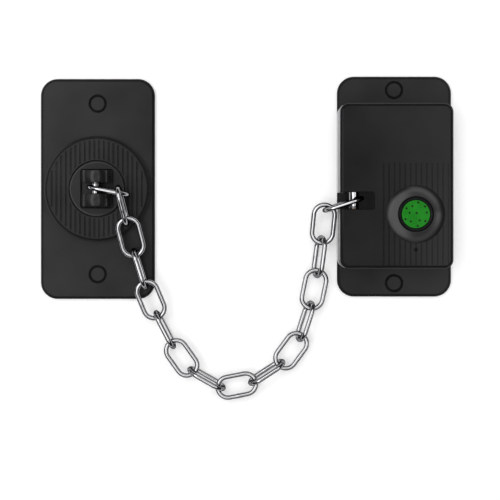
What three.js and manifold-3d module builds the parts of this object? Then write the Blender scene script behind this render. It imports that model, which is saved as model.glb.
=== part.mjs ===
// A battery-powered door chain lock that opens by fingerprint, with its chain and swivelling anchor.
//
// The two units lie on their backs side by side, as they would hang on a door leaf and its frame, and the
// chain lies between them. Lengths are millimetres. The origin is the centre of the lock unit's back
// face, +X points away from the chain, +Y is up on the door and +Z points out of the door.

import * as THREE from "three";
import { mergeVertices } from "three/addons/utils/BufferGeometryUtils.js";
import Module from "manifold-3d";

const wasm = await Module();
wasm.setup();

// Back plates, one behind each unit
const plateWidth = 54.4;
const plateHeight = 105;
const plateThickness = 3.2;
const plateCornerRadius = 8;
const plateBevel = 0.6;
const mountingHoleDiameter = 4.4;
const lockHoleSpacing = 92.1;
const anchorHoleSpacing = 81.4;

// Plugs that hide the mounting screws
const plugDiameter = 8;
const plugThickness = 1.2;
const plugDepth = 0.3;
const plugClearance = 0.25;
const plugBevel = 0.25;

// Small screws driven from behind
const screwHeadDiameter = 4.6;
const screwHeadHeight = 1.3;
const screwShankDiameter = 2.5;
const screwSocketWidth = 2;
const screwSocketDepth = 0.8;
const screwClearance = 0.2;
const screwSink = 0.3;
const coverScrewLength = 8.5;
const rosetteScrewLength = 3.1;

// Lock housing: a bright metal side frame with a black cover on it
const housingHeight = 77.6;
const housingDepth = 14.8;
const housingCornerRadius = 4.2;
const frameDepth = 8.4;
const frameChamfer = 0.7;
const frameTuck = 0.2;
const wallThickness = 2.7;
const coverInset = 0.7;
const coverFrontThickness = 2.4;
const coverEdgeRound = 0.8;
const bossDiameter = 6;
const bossInset = 3.65;

// Notch in the left side for the chain's end link, with the latch pin across it
const notchHeight = 7.9;
const notchDepth = 16.6;
const notchCentreY = -6.95;
const notchCornerRadius = 1;
const notchWall = 1.6;
const notchWallGap = 0.3;

// Latch pin, its two guides and the rack that draws it out of the notch
const latchPinDiameter = 4.6;
const latchPinSetback = 7.4;
const latchPinHeight = 10.6;
const latchPinTip = 0.6;
const latchTailLength = 2.4;
const guideSleeveDiameter = 6.4;
const guideFlangeDiameter = 8.2;
const guideFlangeThickness = 1.2;
const guideClearance = 0.15;
const rackWidth = 3.4;
const rackBackThickness = 1.8;
const lugThickness = 1.8;

// Rack and pinion teeth
const gearModule = 0.6;
const pinionTeeth = 8;
const rackOverlapTeeth = 1.25;
const pinionGap = 0.6;
const pressureAngle = 20;
const toothBacklash = 0.12;
const rootClearance = 0.18;
const pinionWidth = 3;
const shaftDiameter = 2;
const shaftInsertion = 3;

// Gearmotor, bracket, battery, boards and coil inside the housing
const motorWidth = 12;
const motorThickness = 10;
const gearboxLength = 9;
const motorCanLength = 15;
const motorCanFlat = 0.5;
const motorStandoff = 3.9;
const motorGap = 0.3;
const bracketThickness = 0.9;
const bracketWall = 0.8;
const bracketWallHeight = 3.4;
const batteryThickness = 6.3;
const batteryCornerRadius = 2;
const batteryBevel = 0.5;
const batteryEndGap = 7.2;
const boardThickness = 1;
const boardEndGap = 3.7;
const boardRise = 7.4;
const chipSize = 6;
const chipThickness = 0.9;
const chipPlaceShares = [[0.3, 0.86], [0.72, 0.8]];
const innerGap = 1;
const bayRise = 6.8;
const coilDiameter = 22;
const coilBore = 8;
const coilThickness = 0.8;
const coilGap = 0.2;
const coilSideGap = 3.5;
const coilEndGap = 3.8;

// Fingerprint sensor in the cover, with the status light under it
const sensorCentreX = 8.8;
const sensorEndDistance = 25.5;
const surroundDiameter = 27.3;
const surroundHeight = 1;
const surroundRim = 0.4;
const bezelOuterDiameter = 16;
const bezelInnerDiameter = 13.5;
const bezelHeight = 3.4;
const windowDiameter = 13.1;
const windowThickness = 1.2;
const windowRecess = 0.3;
const sensorFlangeDiameter = 19;
const sensorFlangeThickness = 1;
const sensorBodyDiameter = 12.8;
const lightGuideDiameter = 0.9;
const lightHoleDiameter = 1.3;
const lightDistance = 16.6;
const lightRecess = 0.2;
const fitGap = 0.2;

// Shallow decorative grooves on the cover and on the anchor's rosette
const coverGroovePitch = 2.52;
const coverGrooveWidth = 0.6;
const coverGrooveDepth = 0.25;
const coverGrooveCount = 13;
const coverGrooveTop = 10.6;
const coverGrooveMargin = 1.2;
const rosetteGroovePitch = 2.25;
const rosetteGrooveWidth = 0.7;
const rosetteGrooveDepth = 0.35;
const rosetteGrooveMargin = 1.6;

// Anchor: a ribbed rosette holds a rotor that turns all the way round
const rosetteDiameter = 50.2;
const rosetteHeight = 4.3;
const rosetteBevel = 0.7;
const rosetteLip = 1.9;
const rotorShare = 0.518;
const rotorRise = 0.3;
const rotorGap = 0.4;
const rotorBevel = 0.3;
const rotorFlangeReach = 3;
const rotorFlangeThickness = 1.3;
const rotorEndPlay = 0.3;
const washerThickness = 0.5;
const washerBoreShare = 0.5;
const pocketWidthShare = 0.585;
const pocketHeightShare = 0.7;
const pocketDepth = 2.4;
const pocketCornerRadius = 1;

// Clevis: two round-topped ears and the pin that carries the first link
const earEdgeClearance = 1.1;
const earOuterClearance = 0.6;
const earSideClearance = 1.475;
const clevisPinDiameter = 3.2;
const clevisPinHeight = 14.4;
const clevisPinRecess = 0.4;
const clevisPinClearance = 0.15;

// Chain links, all alike
const linkLength = 20.6;
const linkWidth = 12.1;
const wireDiameter = 2.25;
const linkPlay = 0.35;
const hookPlay = 0.55;
const latchPinPlay = 0.55;
const plateClearance = 0.4;
const linkCount = 16;
const hookAngle = 17;

// How the chain lies, from link 1 at the anchor to link 16 at the lock: which way each link points, in
// degrees from +X, and how far every second link, from link 2 on, leans over from standing on edge
const linkHeadings = [-11, -77, -76.5, -73, -68, -63, -54.5, -29.5, 11, 33, 53.5, 72, 78.5, 82.5, 84.5, 18];
const uprightLeans = [3, 3, 5, 10, 12, 18, 20, 3];
const firstLean = 2;
const stepDownShare = 0.36;
const dropOffPlateShare = 0.35;
const rampStartShare = 0.3;
const rampEndShare = 0.68;

// Facets
const rosetteSides = 48;
const roundSides = 24;
const pinSides = 16;
const smallSides = 10;
const wireSides = 8;
const bendSteps = 8;
const cornerSteps = 4;
const overrun = 1;

const black = new THREE.MeshStandardMaterial({ color: 0x2c2c2c, roughness: 0.5, metalness: 0.2 });
const blackPlastic = new THREE.MeshStandardMaterial({ color: 0x262626, roughness: 0.55, metalness: 0 });
const satinMetal = new THREE.MeshStandardMaterial({ color: 0xb8b8b8, roughness: 0.35, metalness: 1 });
const chrome = new THREE.MeshStandardMaterial({ color: 0xd8d8d8, roughness: 0.08, metalness: 1 });
const zincPlated = new THREE.MeshStandardMaterial({ color: 0x9a9a9a, roughness: 0.4, metalness: 1 });
const brass = new THREE.MeshStandardMaterial({ color: 0xb08d4a, roughness: 0.35, metalness: 1 });
const greenGlass = new THREE.MeshStandardMaterial({ color: 0x208c20, roughness: 0.2, metalness: 0 });
const blackGloss = new THREE.MeshStandardMaterial({ color: 0x141414, roughness: 0.25, metalness: 0 });
const clearPlastic = new THREE.MeshStandardMaterial({ color: 0xdde6ea, roughness: 0.15, metalness: 0 });
const boardGreen = new THREE.MeshStandardMaterial({ color: 0x1d5a34, roughness: 0.5, metalness: 0 });
const foil = new THREE.MeshStandardMaterial({ color: 0xa9adb0, roughness: 0.4, metalness: 0.6 });
const copper = new THREE.MeshStandardMaterial({ color: 0xb0633a, roughness: 0.4, metalness: 1 });
const nylon = new THREE.MeshStandardMaterial({ color: 0xe4e0d4, roughness: 0.6, metalness: 0 });

const rad = THREE.MathUtils.degToRad;
const assembly = new THREE.Group();

// Geometry helpers

// A closed mesh with its shared corners merged becomes a solid that can be cut and joined
function solid(geometry) {
  const bare = geometry.clone();
  bare.deleteAttribute("normal");
  bare.deleteAttribute("uv");
  const merged = mergeVertices(bare);
  const mesh = new wasm.Mesh({
    numProp: 3,
    vertProperties: new Float32Array(merged.attributes.position.array),
    triVerts: new Uint32Array(merged.index.array),
  });
  return new wasm.Manifold(mesh);
}

function surfaceOf(body) {
  const mesh = body.getMesh();
  const geometry = new THREE.BufferGeometry();
  geometry.setAttribute("position", new THREE.BufferAttribute(mesh.vertProperties, 3));
  geometry.setIndex(new THREE.BufferAttribute(mesh.triVerts, 1));
  return geometry;
}

function cut(geometry, ...tools) {
  return surfaceOf(tools.flat().reduce((rest, tool) => rest.subtract(solid(tool)), solid(geometry)));
}

function join(first, ...others) {
  return surfaceOf(others.flat().reduce((whole, other) => whole.add(solid(other)), solid(first)));
}

function overlapOf(first, second) {
  return surfaceOf(solid(first).intersect(solid(second)));
}

function place(name, geometry, material, parent) {
  geometry.computeVertexNormals();
  const mesh = new THREE.Mesh(geometry, material);
  mesh.name = name;
  parent.add(mesh);
}

function roundedRectangle(width, height, radius) {
  const x = width / 2;
  const y = height / 2;
  const shape = new THREE.Shape();
  shape.moveTo(x - radius, -y);
  shape.absarc(x - radius, radius - y, radius, -Math.PI / 2, 0);
  shape.absarc(x - radius, y - radius, radius, 0, Math.PI / 2);
  shape.absarc(radius - x, y - radius, radius, Math.PI / 2, Math.PI);
  shape.absarc(radius - x, radius - y, radius, Math.PI, 1.5 * Math.PI);
  return shape;
}

function box(left, right, low, high, bottom, top) {
  const geometry = new THREE.BoxGeometry(right - left, high - low, top - bottom);
  return geometry.translate((left + right) / 2, (low + high) / 2, (bottom + top) / 2);
}

// An extruded outline, with a bevel round its upper edge if one is given
function slab(shape, bottom, top, bevel = 0) {
  const depth = top - bottom;
  const plain = new THREE.ExtrudeGeometry(shape, { depth, curveSegments: cornerSteps, bevelEnabled: false });
  plain.translate(0, 0, bottom);
  if (bevel === 0) {
    return plain;
  }
  const bevelled = new THREE.ExtrudeGeometry(shape, {
    depth,
    curveSegments: cornerSteps,
    bevelThickness: bevel,
    bevelSize: bevel,
    bevelOffset: -bevel,
    bevelSegments: 1,
  });
  return overlapOf(plain, bevelled.translate(0, 0, bottom - bevel));
}

function revolve(profile, sides = roundSides) {
  const points = profile.map(([radius, height]) => new THREE.Vector2(radius, height));
  return new THREE.LatheGeometry(points, sides).rotateX(Math.PI / 2);
}

function disc(diameter, bottom, top, sides = roundSides) {
  const geometry = new THREE.CylinderGeometry(diameter / 2, diameter / 2, top - bottom, sides);
  return geometry.rotateX(Math.PI / 2).translate(0, 0, (bottom + top) / 2);
}

function ring(outer, inner, bottom, top, sides = roundSides) {
  const inside = inner / 2;
  const outside = outer / 2;
  const profile = [[inside, bottom], [outside, bottom], [outside, top], [inside, top], [inside, bottom]];
  return revolve(profile, sides);
}

// The same disc at each of several places
function discsAt(places, diameter, bottom, top, sides) {
  return places.map(([x, y]) => disc(diameter, bottom, top, sides).translate(x, y, 0));
}

// A box centred on one x
function bar(x, width, low, high, bottom, top) {
  return box(x - width / 2, x + width / 2, low, high, bottom, top);
}

// Lay a piece made along Z down along Y or X
function alongY(geometry) {
  return geometry.rotateX(-Math.PI / 2);
}

function alongX(geometry) {
  return geometry.rotateY(Math.PI / 2);
}

// Back plates

function backPlate(holeSpacing) {
  const outline = roundedRectangle(plateWidth, plateHeight, plateCornerRadius);
  const plate = slab(outline, 0, plateThickness, plateBevel);
  const places = [[0, holeSpacing / 2], [0, -holeSpacing / 2]];
  const seatDiameter = plugDiameter + 2 * plugClearance;
  const seatFloor = plateThickness - plugDepth - plugThickness;
  const seats = discsAt(places, seatDiameter, seatFloor, plateThickness + overrun);
  return cut(plate, seats, discsAt(places, mountingHoleDiameter, -overrun, plateThickness, pinSides));
}

// Screws sink into the back of a plate
const screwHeadBottom = screwSink;
const screwHeadTop = screwHeadBottom + screwHeadHeight;

const screwHoleDiameter = screwShankDiameter + 2 * screwClearance;

function screwHoleCuts(places) {
  const seatDiameter = screwHeadDiameter + 2 * screwClearance;
  const seats = discsAt(places, seatDiameter, -overrun, screwHeadTop, smallSides);
  return [...seats, ...discsAt(places, screwHoleDiameter, 0, plateThickness + overrun, smallSides)];
}

function screw(length) {
  const head = screwHeadDiameter / 2;
  const shank = screwShankDiameter / 2;
  const bottom = screwHeadBottom;
  const profile = [[0, bottom], [head, bottom], [head, screwHeadTop], [shank, screwHeadTop],
    [shank, screwHeadTop + length], [0, screwHeadTop + length]];
  const socket = disc(screwSocketWidth, bottom - overrun, bottom + screwSocketDepth, 6);
  return cut(revolve(profile, smallSides), socket);
}

function addScrews(baseName, places, length, parent) {
  places.forEach(([x, y], index) => {
    place(`${baseName}_${index + 1}`, screw(length).translate(x, y, 0), zincPlated, parent);
  });
}

function addPlugs(baseName, holeSpacing, parent) {
  const top = plateThickness - plugDepth;
  const radius = plugDiameter / 2;
  const profile = [[0, top - plugThickness], [radius, top - plugThickness], [radius, top - plugBevel],
    [radius - plugBevel, top], [0, top]];
  for (const [word, side] of [["top", 1], ["bottom", -1]]) {
    place(`${baseName}_${word}`, revolve(profile).translate(0, (side * holeSpacing) / 2, 0), black, parent);
  }
}

// Lock unit, the heavier of the two

const lock = new THREE.Group();
assembly.add(lock);

const frameTop = plateThickness + frameDepth;
const housingTop = plateThickness + housingDepth;
const ceiling = housingTop - coverFrontThickness;
const coverWidth = plateWidth - 2 * coverInset;
const innerWidth = plateWidth - 2 * wallThickness;
const innerHeight = housingHeight - 2 * wallThickness + 2 * coverInset;
const innerRadius = housingCornerRadius - coverInset;
const notchEnd = notchDepth - plateWidth / 2;
const notchBottom = notchCentreY - notchHeight / 2;
const notchTop = notchCentreY + notchHeight / 2;

const bossX = innerWidth / 2 - bossInset;
const bossY = innerHeight / 2 - bossInset;
const coverScrewPlaces = [[-bossX, bossY], [bossX, bossY], [-bossX, -bossY], [bossX, -bossY]];

const lockPlate = cut(backPlate(lockHoleSpacing), screwHoleCuts(coverScrewPlaces));
place("lock_back_plate", lockPlate, black, lock);
addPlugs("lock_plug", lockHoleSpacing, lock);
addScrews("cover_screw", coverScrewPlaces, coverScrewLength, lock);

// Notch outline, run out past the left side
function notchCut(bottom, top) {
  const length = notchDepth + 2 * notchCornerRadius;
  const shape = roundedRectangle(length, notchHeight, notchCornerRadius);
  return slab(shape, bottom, top).translate(notchEnd - length / 2, notchCentreY, 0);
}

// Bright side frame
const frameShape = roundedRectangle(plateWidth, housingHeight - 2 * frameTuck, housingCornerRadius);
const frameOutside = slab(frameShape, plateThickness, frameTop, frameChamfer);
const innerShape = roundedRectangle(innerWidth, innerHeight, innerRadius);
const frameInside = slab(innerShape, plateThickness - overrun, frameTop + overrun);
const sideFrame = cut(frameOutside, frameInside, notchCut(plateThickness - overrun, frameTop + overrun));
place("lock_side_frame", sideFrame, satinMetal, lock);

// Front cover, with the walls round the notch and four screw bosses hanging from it
const coverShape = roundedRectangle(coverWidth, housingHeight, housingCornerRadius);
const coverOutside = slab(coverShape, frameTop, housingTop, coverEdgeRound);
const coverInside = slab(innerShape, frameTop - overrun, ceiling);
const surroundTop = housingTop + surroundHeight;
const rimRadius = bezelOuterDiameter / 2 + fitGap + surroundRim;
const surround = revolve([[0, ceiling], [surroundDiameter / 2, ceiling], [surroundDiameter / 2, housingTop],
  [rimRadius, surroundTop], [0, surroundTop]]);
const sensorCentreY = sensorEndDistance - housingHeight / 2;
const sensorPlace = [sensorCentreX, sensorCentreY, 0];
const lightPlace = [sensorCentreX, sensorCentreY - lightDistance, 0];

const notchWallLeft = notchWallGap - innerWidth / 2;
const notchWalls = box(notchWallLeft, notchEnd + notchWall, notchBottom - notchWall, notchTop + notchWall,
  plateThickness, ceiling + overrun);
const latchX = latchPinSetback - plateWidth / 2;
const guideSeat = alongY(disc(guideSleeveDiameter + 2 * guideClearance, notchBottom - notchWall - overrun,
  notchTop + notchWall + overrun, pinSides)).translate(latchX, 0, latchPinHeight);

const bossTop = ceiling + overrun;
const bossHoleTop = screwHeadTop + coverScrewLength + screwClearance;
const bosses = discsAt(coverScrewPlaces, bossDiameter, plateThickness, bossTop, pinSides);
const bossHoles = discsAt(coverScrewPlaces, screwHoleDiameter, plateThickness - overrun, bossHoleTop,
  smallSides);

const coverGrooves = [];
for (let index = 0; index < coverGrooveCount; index += 1) {
  const x = coverWidth / 2 - coverGroovePitch * (index + 1);
  coverGrooves.push(bar(x, coverGrooveWidth, coverGrooveMargin - housingHeight / 2, coverGrooveTop,
    housingTop - coverGrooveDepth, housingTop + overrun));
}

const sensorHole = disc(bezelOuterDiameter + 2 * fitGap, ceiling - overrun, surroundTop + overrun);
const lightHole = disc(lightHoleDiameter, ceiling - overrun, housingTop + overrun, smallSides);
const groovedShell = cut(coverOutside, coverInside, coverGrooves);
const fittedShell = join(groovedShell, surround.translate(...sensorPlace), notchWalls, bosses);
const cover = cut(fittedShell, bossHoles, notchCut(plateThickness - overrun, housingTop + overrun),
  guideSeat, sensorHole.translate(...sensorPlace), lightHole.translate(...lightPlace));
place("lock_front_cover", cover, blackPlastic, lock);

// Fingerprint sensor, stacked under the hole in the cover
const bezelBottom = ceiling;
const bezelTop = bezelBottom + bezelHeight;
const bezel = ring(bezelOuterDiameter, bezelInnerDiameter, bezelBottom, bezelTop);
place("sensor_bezel", bezel.translate(...sensorPlace), blackGloss, lock);
const windowTop = bezelTop - windowRecess;
const windowBottom = windowTop - windowThickness;
const sensorWindow = disc(windowDiameter, windowBottom, windowTop);
place("sensor_window", sensorWindow.translate(...sensorPlace), greenGlass, lock);

const boardBottom = plateThickness + boardRise;
const boardTop = boardBottom + boardThickness;
const flangeTop = bezelBottom - fitGap;
const flangeBottom = flangeTop - sensorFlangeThickness;
const bodyRadius = sensorBodyDiameter / 2;
const flangeRadius = sensorFlangeDiameter / 2;
const sensorProfile = [[0, boardTop], [bodyRadius, boardTop], [bodyRadius, flangeBottom],
  [flangeRadius, flangeBottom], [flangeRadius, flangeTop], [bodyRadius, flangeTop],
  [bodyRadius, windowBottom], [0, windowBottom]];
place("sensor_module", revolve(sensorProfile).translate(...sensorPlace), blackGloss, lock);
const lightGuide = disc(lightGuideDiameter, boardTop, housingTop - lightRecess, smallSides);
place("status_light_guide", lightGuide.translate(...lightPlace), clearPlastic, lock);

// Circuit board over the battery, beside the notch
const bayLeft = notchEnd + notchWall + innerGap;
const bayRight = bossX - bossDiameter / 2 - innerGap;
const bayTop = notchTop + notchWall + innerGap + bayRise;
const boardLow = boardEndGap - innerHeight / 2;
const chips = chipPlaceShares.map(([acrossShare, upShare]) => {
  const x = bayLeft + acrossShare * (bayRight - bayLeft);
  const y = boardLow + upShare * (bayTop - boardLow);
  return bar(x, chipSize, y - chipSize / 2, y + chipSize / 2, boardTop, boardTop + chipThickness);
});
const board = box(bayLeft, bayRight, boardLow, bayTop, boardBottom, boardTop);
place("circuit_board", join(board, chips), boardGreen, lock);

const batteryBottom = plateThickness;
const batteryLow = batteryEndGap - innerHeight / 2;
const batteryShape = roundedRectangle(bayRight - bayLeft, bayTop - batteryLow, batteryCornerRadius);
const battery = slab(batteryShape, batteryBottom, batteryBottom + batteryThickness, batteryBevel);
battery.translate((bayLeft + bayRight) / 2, (batteryLow + bayTop) / 2, 0);
place("battery_cell", battery, foil, lock);

const coilTop = ceiling - coilGap;
const coilX = innerWidth / 2 - coilSideGap - coilDiameter / 2;
const coilY = innerHeight / 2 - coilEndGap - coilDiameter / 2;
const coil = ring(coilDiameter, coilBore, coilTop - coilThickness, coilTop);
place("charging_coil", coil.translate(coilX, coilY, 0), copper, lock);

// Latch drive: the gearmotor's pinion turns above the rack and draws the latch pin up out of the notch
const pitchRadius = (gearModule * pinionTeeth) / 2;
const toothPitch = Math.PI * gearModule;
const pinionX = latchX;
const latchTop = notchTop + notchWall + guideFlangeThickness + fitGap + latchTailLength;
const latchBottom = notchBottom - notchWall - guideFlangeThickness + fitGap;
const latchTravel = notchTop - latchBottom;
const pinionY = latchTop + latchTravel + pitchRadius + gearModule + pinionGap;
const pinionZ = plateThickness + bracketThickness + motorGap + motorThickness / 2;
const rackPitchZ = pinionZ - pitchRadius;
const rackRootZ = rackPitchZ - gearModule - rootClearance;
const rackTipZ = rackPitchZ + gearModule;
const rackBackZ = rackRootZ - rackBackThickness;

function guide(outward) {
  const sleeve = guideSleeveDiameter / 2;
  const flange = guideFlangeDiameter / 2;
  const bore = latchPinDiameter / 2 + guideClearance;
  const profile = [[bore, 0], [sleeve, 0], [sleeve, notchWall], [flange, notchWall],
    [flange, notchWall + guideFlangeThickness], [bore, notchWall + guideFlangeThickness], [bore, 0]];
  const sleeveAlongY = revolve(profile, pinSides).rotateX((outward * -Math.PI) / 2);
  return sleeveAlongY.translate(latchX, outward > 0 ? notchTop : notchBottom, latchPinHeight);
}
place("latch_guide_upper", guide(1), brass, lock);
place("latch_guide_lower", guide(-1), brass, lock);

const latch = new THREE.Group();
lock.add(latch);
const latchRadius = latchPinDiameter / 2;
const latchProfile = [[0, latchBottom], [latchRadius - latchPinTip, latchBottom],
  [latchRadius, latchBottom + latchPinTip], [latchRadius, latchTop], [0, latchTop]];
const latchRod = alongY(revolve(latchProfile, pinSides)).translate(latchX, 0, latchPinHeight);
const rackEnd = pinionY + rackOverlapTeeth * toothPitch;
const rackStart = pinionY - latchTravel - rackOverlapTeeth * toothPitch;
const lug = bar(latchX, rackWidth, latchTop - lugThickness, latchTop, rackBackZ, latchPinHeight);
const rackBack = bar(latchX, rackWidth, latchTop - lugThickness, rackEnd, rackBackZ, rackRootZ);

// One rack tooth is a trapezium across the pin's travel; a tooth space is centred under the pinion
function rackTooth(y) {
  const halfPitchWidth = toothPitch / 4 - toothBacklash / 2;
  const lean = Math.tan(rad(pressureAngle));
  const foot = halfPitchWidth + (rackPitchZ - rackRootZ) * lean;
  const tip = halfPitchWidth - gearModule * lean;
  const sink = rackBackThickness / 2;
  const shape = new THREE.Shape();
  shape.moveTo(y - foot, rackRootZ - sink);
  shape.lineTo(y + foot, rackRootZ - sink);
  shape.lineTo(y + foot, rackRootZ);
  shape.lineTo(y + tip, rackTipZ);
  shape.lineTo(y - tip, rackTipZ);
  shape.lineTo(y - foot, rackRootZ);
  const geometry = new THREE.ExtrudeGeometry(shape, { depth: rackWidth, bevelEnabled: false });
  geometry.rotateX(Math.PI / 2);
  geometry.rotateZ(Math.PI / 2);
  geometry.translate(latchX - rackWidth / 2, 0, 0);
  return geometry;
}
const rackTeeth = [];
for (let y = pinionY + toothPitch / 2; y > rackStart; y -= toothPitch) {
  rackTeeth.push(rackTooth(y));
}
place("latch_pin", join(latchRod, lug, rackBack, rackTeeth), chrome, latch);

// Pinion with involute flanks, one tooth pointing straight down into the rack
function pinionShape() {
  const baseRadius = pitchRadius * Math.cos(rad(pressureAngle));
  const rootRadius = pitchRadius - gearModule - rootClearance;
  const tipRadius = pitchRadius + gearModule;
  const involute = (radius) => {
    const pressure = Math.acos(Math.min(1, baseRadius / radius));
    return Math.tan(pressure) - pressure;
  };
  const halfToothAtPitch = Math.PI / (2 * pinionTeeth) - toothBacklash / 2 / pitchRadius;
  const flankRadii = [rootRadius, baseRadius, pitchRadius, (pitchRadius + tipRadius) / 2, tipRadius];
  const widest = halfToothAtPitch + involute(pitchRadius);
  const halfAngle = (radius) => widest - involute(Math.max(radius, baseRadius));
  const shape = new THREE.Shape();
  for (let tooth = 0; tooth < pinionTeeth; tooth += 1) {
    const middle = (tooth * 2 * Math.PI) / pinionTeeth - Math.PI / 2;
    const outline = [...flankRadii.map((radius) => [radius, middle - halfAngle(radius)]),
      ...flankRadii.toReversed().map((radius) => [radius, middle + halfAngle(radius)])];
    outline.forEach(([radius, angle], index) => {
      const x = radius * Math.cos(angle);
      const y = radius * Math.sin(angle);
      if (tooth === 0 && index === 0) {
        shape.moveTo(x, y);
      } else {
        shape.lineTo(x, y);
      }
    });
  }
  return shape;
}

const gearboxFace = pinionX + pinionWidth / 2 + motorStandoff;
const pinionOutline = pinionShape();
const pinionGeometry = new THREE.ExtrudeGeometry(pinionOutline, { depth: pinionWidth, bevelEnabled: false });
pinionGeometry.rotateX(Math.PI / 2);
pinionGeometry.rotateZ(Math.PI / 2);
pinionGeometry.translate(pinionX - pinionWidth / 2, pinionY, pinionZ);
const shaftStart = pinionX - pinionWidth / 2;
const shaft = alongX(disc(shaftDiameter, shaftStart, gearboxFace + shaftInsertion, smallSides));
shaft.translate(0, pinionY, pinionZ);
const drive = new THREE.Group();
lock.add(drive);
place("latch_pinion", join(pinionGeometry, shaft), brass, drive);

const gearboxEnd = gearboxFace + gearboxLength;
const motorLow = pinionY - motorWidth / 2;
const motorHigh = pinionY + motorWidth / 2;
const gearbox = box(gearboxFace, gearboxEnd, motorLow, motorHigh,
  pinionZ - motorThickness / 2, pinionZ + motorThickness / 2);
const canShape = roundedRectangle(motorThickness, motorWidth, (motorThickness - motorCanFlat) / 2);
const can = alongX(slab(canShape, gearboxEnd - overrun, gearboxEnd + motorCanLength));
const shaftBore = alongX(disc(shaftDiameter + 2 * guideClearance, gearboxFace - overrun,
  gearboxFace + shaftInsertion + guideClearance, smallSides)).translate(0, pinionY, pinionZ);
place("gearmotor", cut(join(gearbox, can.translate(0, pinionY, pinionZ)), shaftBore), zincPlated, lock);

// Bracket: a bed under rack and gearbox, with a wall that keeps the rack straight on its outer side
const bracketLeft = latchX - rackWidth / 2 - bracketWall - fitGap;
const bracketFloor = box(bracketLeft, gearboxEnd, motorLow, motorHigh,
  plateThickness, plateThickness + bracketThickness);
const bracketSide = box(bracketLeft, bracketLeft + bracketWall, motorLow, motorHigh,
  plateThickness, plateThickness + bracketWallHeight);
place("motor_bracket", join(bracketFloor, bracketSide), zincPlated, lock);

// Chain

const wireRadius = wireDiameter / 2;
const legOffset = linkWidth / 2 - wireRadius;
const bendCentre = linkLength / 2 - linkWidth / 2;
const crownOffset = linkLength / 2 - wireRadius;
const innerCrown = crownOffset - wireRadius;

// A link is a round wire bent to a stadium: two straight legs and two half-round crowns. Its length
// runs along x, its width along y.
function linkGeometry() {
  const centreline = [];
  for (const side of [1, -1]) {
    for (let step = 0; step <= bendSteps; step += 1) {
      const angle = Math.PI * (step / bendSteps - 0.5);
      const outward = new THREE.Vector3(side * Math.cos(angle), side * Math.sin(angle), 0);
      const centre = new THREE.Vector3(side * bendCentre, 0, 0).addScaledVector(outward, legOffset);
      centreline.push({ centre, outward });
    }
  }
  const positions = [];
  for (const { centre, outward } of centreline) {
    for (let corner = 0; corner < wireSides; corner += 1) {
      const angle = (2 * Math.PI * (corner + 0.5)) / wireSides;
      const point = centre.clone().addScaledVector(outward, wireRadius * Math.cos(angle));
      positions.push(point.x, point.y, wireRadius * Math.sin(angle));
    }
  }
  const index = [];
  for (let section = 0; section < centreline.length; section += 1) {
    const next = (section + 1) % centreline.length;
    for (let corner = 0; corner < wireSides; corner += 1) {
      const beside = (corner + 1) % wireSides;
      const a = section * wireSides + corner;
      const b = next * wireSides + corner;
      const c = next * wireSides + beside;
      const d = section * wireSides + beside;
      index.push(a, b, c, a, c, d);
    }
  }
  const geometry = new THREE.BufferGeometry();
  geometry.setAttribute("position", new THREE.Float32BufferAttribute(positions, 3));
  geometry.setIndex(index);
  geometry.computeVertexNormals();
  return geometry;
}

// Links with an even number stand on edge and lean a little; the odd ones past link 1 lie flat
function leanOf(link) {
  if (link === 1) {
    return firstLean;
  }
  return link % 2 === 0 ? uprightLeans[link / 2 - 1] : 90;
}

// Height of a link's middle above the surface that its lower edge lies on
const restHeight = (link) => wireRadius + legOffset * Math.cos(rad(leanOf(link)));

// Distance between the two turning points of a link
const uprightPitch = 2 * crownOffset;
const flatPitch = 2 * (innerCrown - wireRadius - linkPlay);
const latchPivotOffset = innerCrown - latchRadius - latchPinPlay;
const endPitch = crownOffset + latchPivotOffset;

// Two neighbours turn about the crown wire of the one on edge. These are the heights of those crown
// wires: over the rosette, over the back plate, down on the table, and up again to the latch pin.
const rosetteTop = plateThickness + rosetteHeight;
const hookHeight = clevisPinHeight + legOffset * Math.cos(rad(hookAngle)) * Math.cos(rad(firstLean));
const overPlate = plateThickness + plateClearance + restHeight(4);
const overRosette = rosetteTop + plateClearance + restHeight(2);
const hookShare = (wireDiameter + hookPlay) / uprightPitch;
const mix = (from, to, share) => from + (to - from) * share;
const crownHeights = {
  2: [(hookHeight - hookShare * overRosette) / (1 - hookShare), overRosette],
  4: [mix(overPlate, overRosette, stepDownShare), overPlate],
  6: [mix(overPlate, restHeight(6), 1 - dropOffPlateShare), restHeight(6)],
  8: [restHeight(8), restHeight(8)],
  10: [restHeight(10), restHeight(10)],
  12: [restHeight(12), restHeight(12)],
  14: [restHeight(14), mix(restHeight(14), latchPinHeight, rampStartShare)],
  16: [mix(restHeight(16), latchPinHeight, rampEndShare), latchPinHeight],
};

function rise(link) {
  return link % 2 === 0
    ? crownHeights[link][1] - crownHeights[link][0]
    : crownHeights[link + 1][0] - crownHeights[link - 1][1];
}

function directionOf(link, pitch) {
  const heading = rad(linkHeadings[link - 1]);
  const slope = Math.asin(rise(link) / pitch);
  const level = Math.cos(slope);
  return new THREE.Vector3(level * Math.cos(heading), level * Math.sin(heading), Math.sin(slope));
}

// Work back from the latch pin: pivots[k] is where link k + 1 turns on link k
const latchPoint = new THREE.Vector3(latchX, notchCentreY, latchPinHeight);
const pivots = { [linkCount]: latchPoint };
const directions = {};
const middles = {};
for (let link = linkCount; link > 1; link -= 1) {
  const onEdge = link % 2 === 0;
  const pitch = link === linkCount ? endPitch : onEdge ? uprightPitch : flatPitch;
  directions[link] = directionOf(link, pitch);
  pivots[link - 1] = pivots[link].clone().addScaledVector(directions[link], -pitch);
  const toMiddle = onEdge ? crownOffset : flatPitch / 2;
  middles[link] = pivots[link - 1].clone().addScaledVector(directions[link], toMiddle);
}

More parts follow.
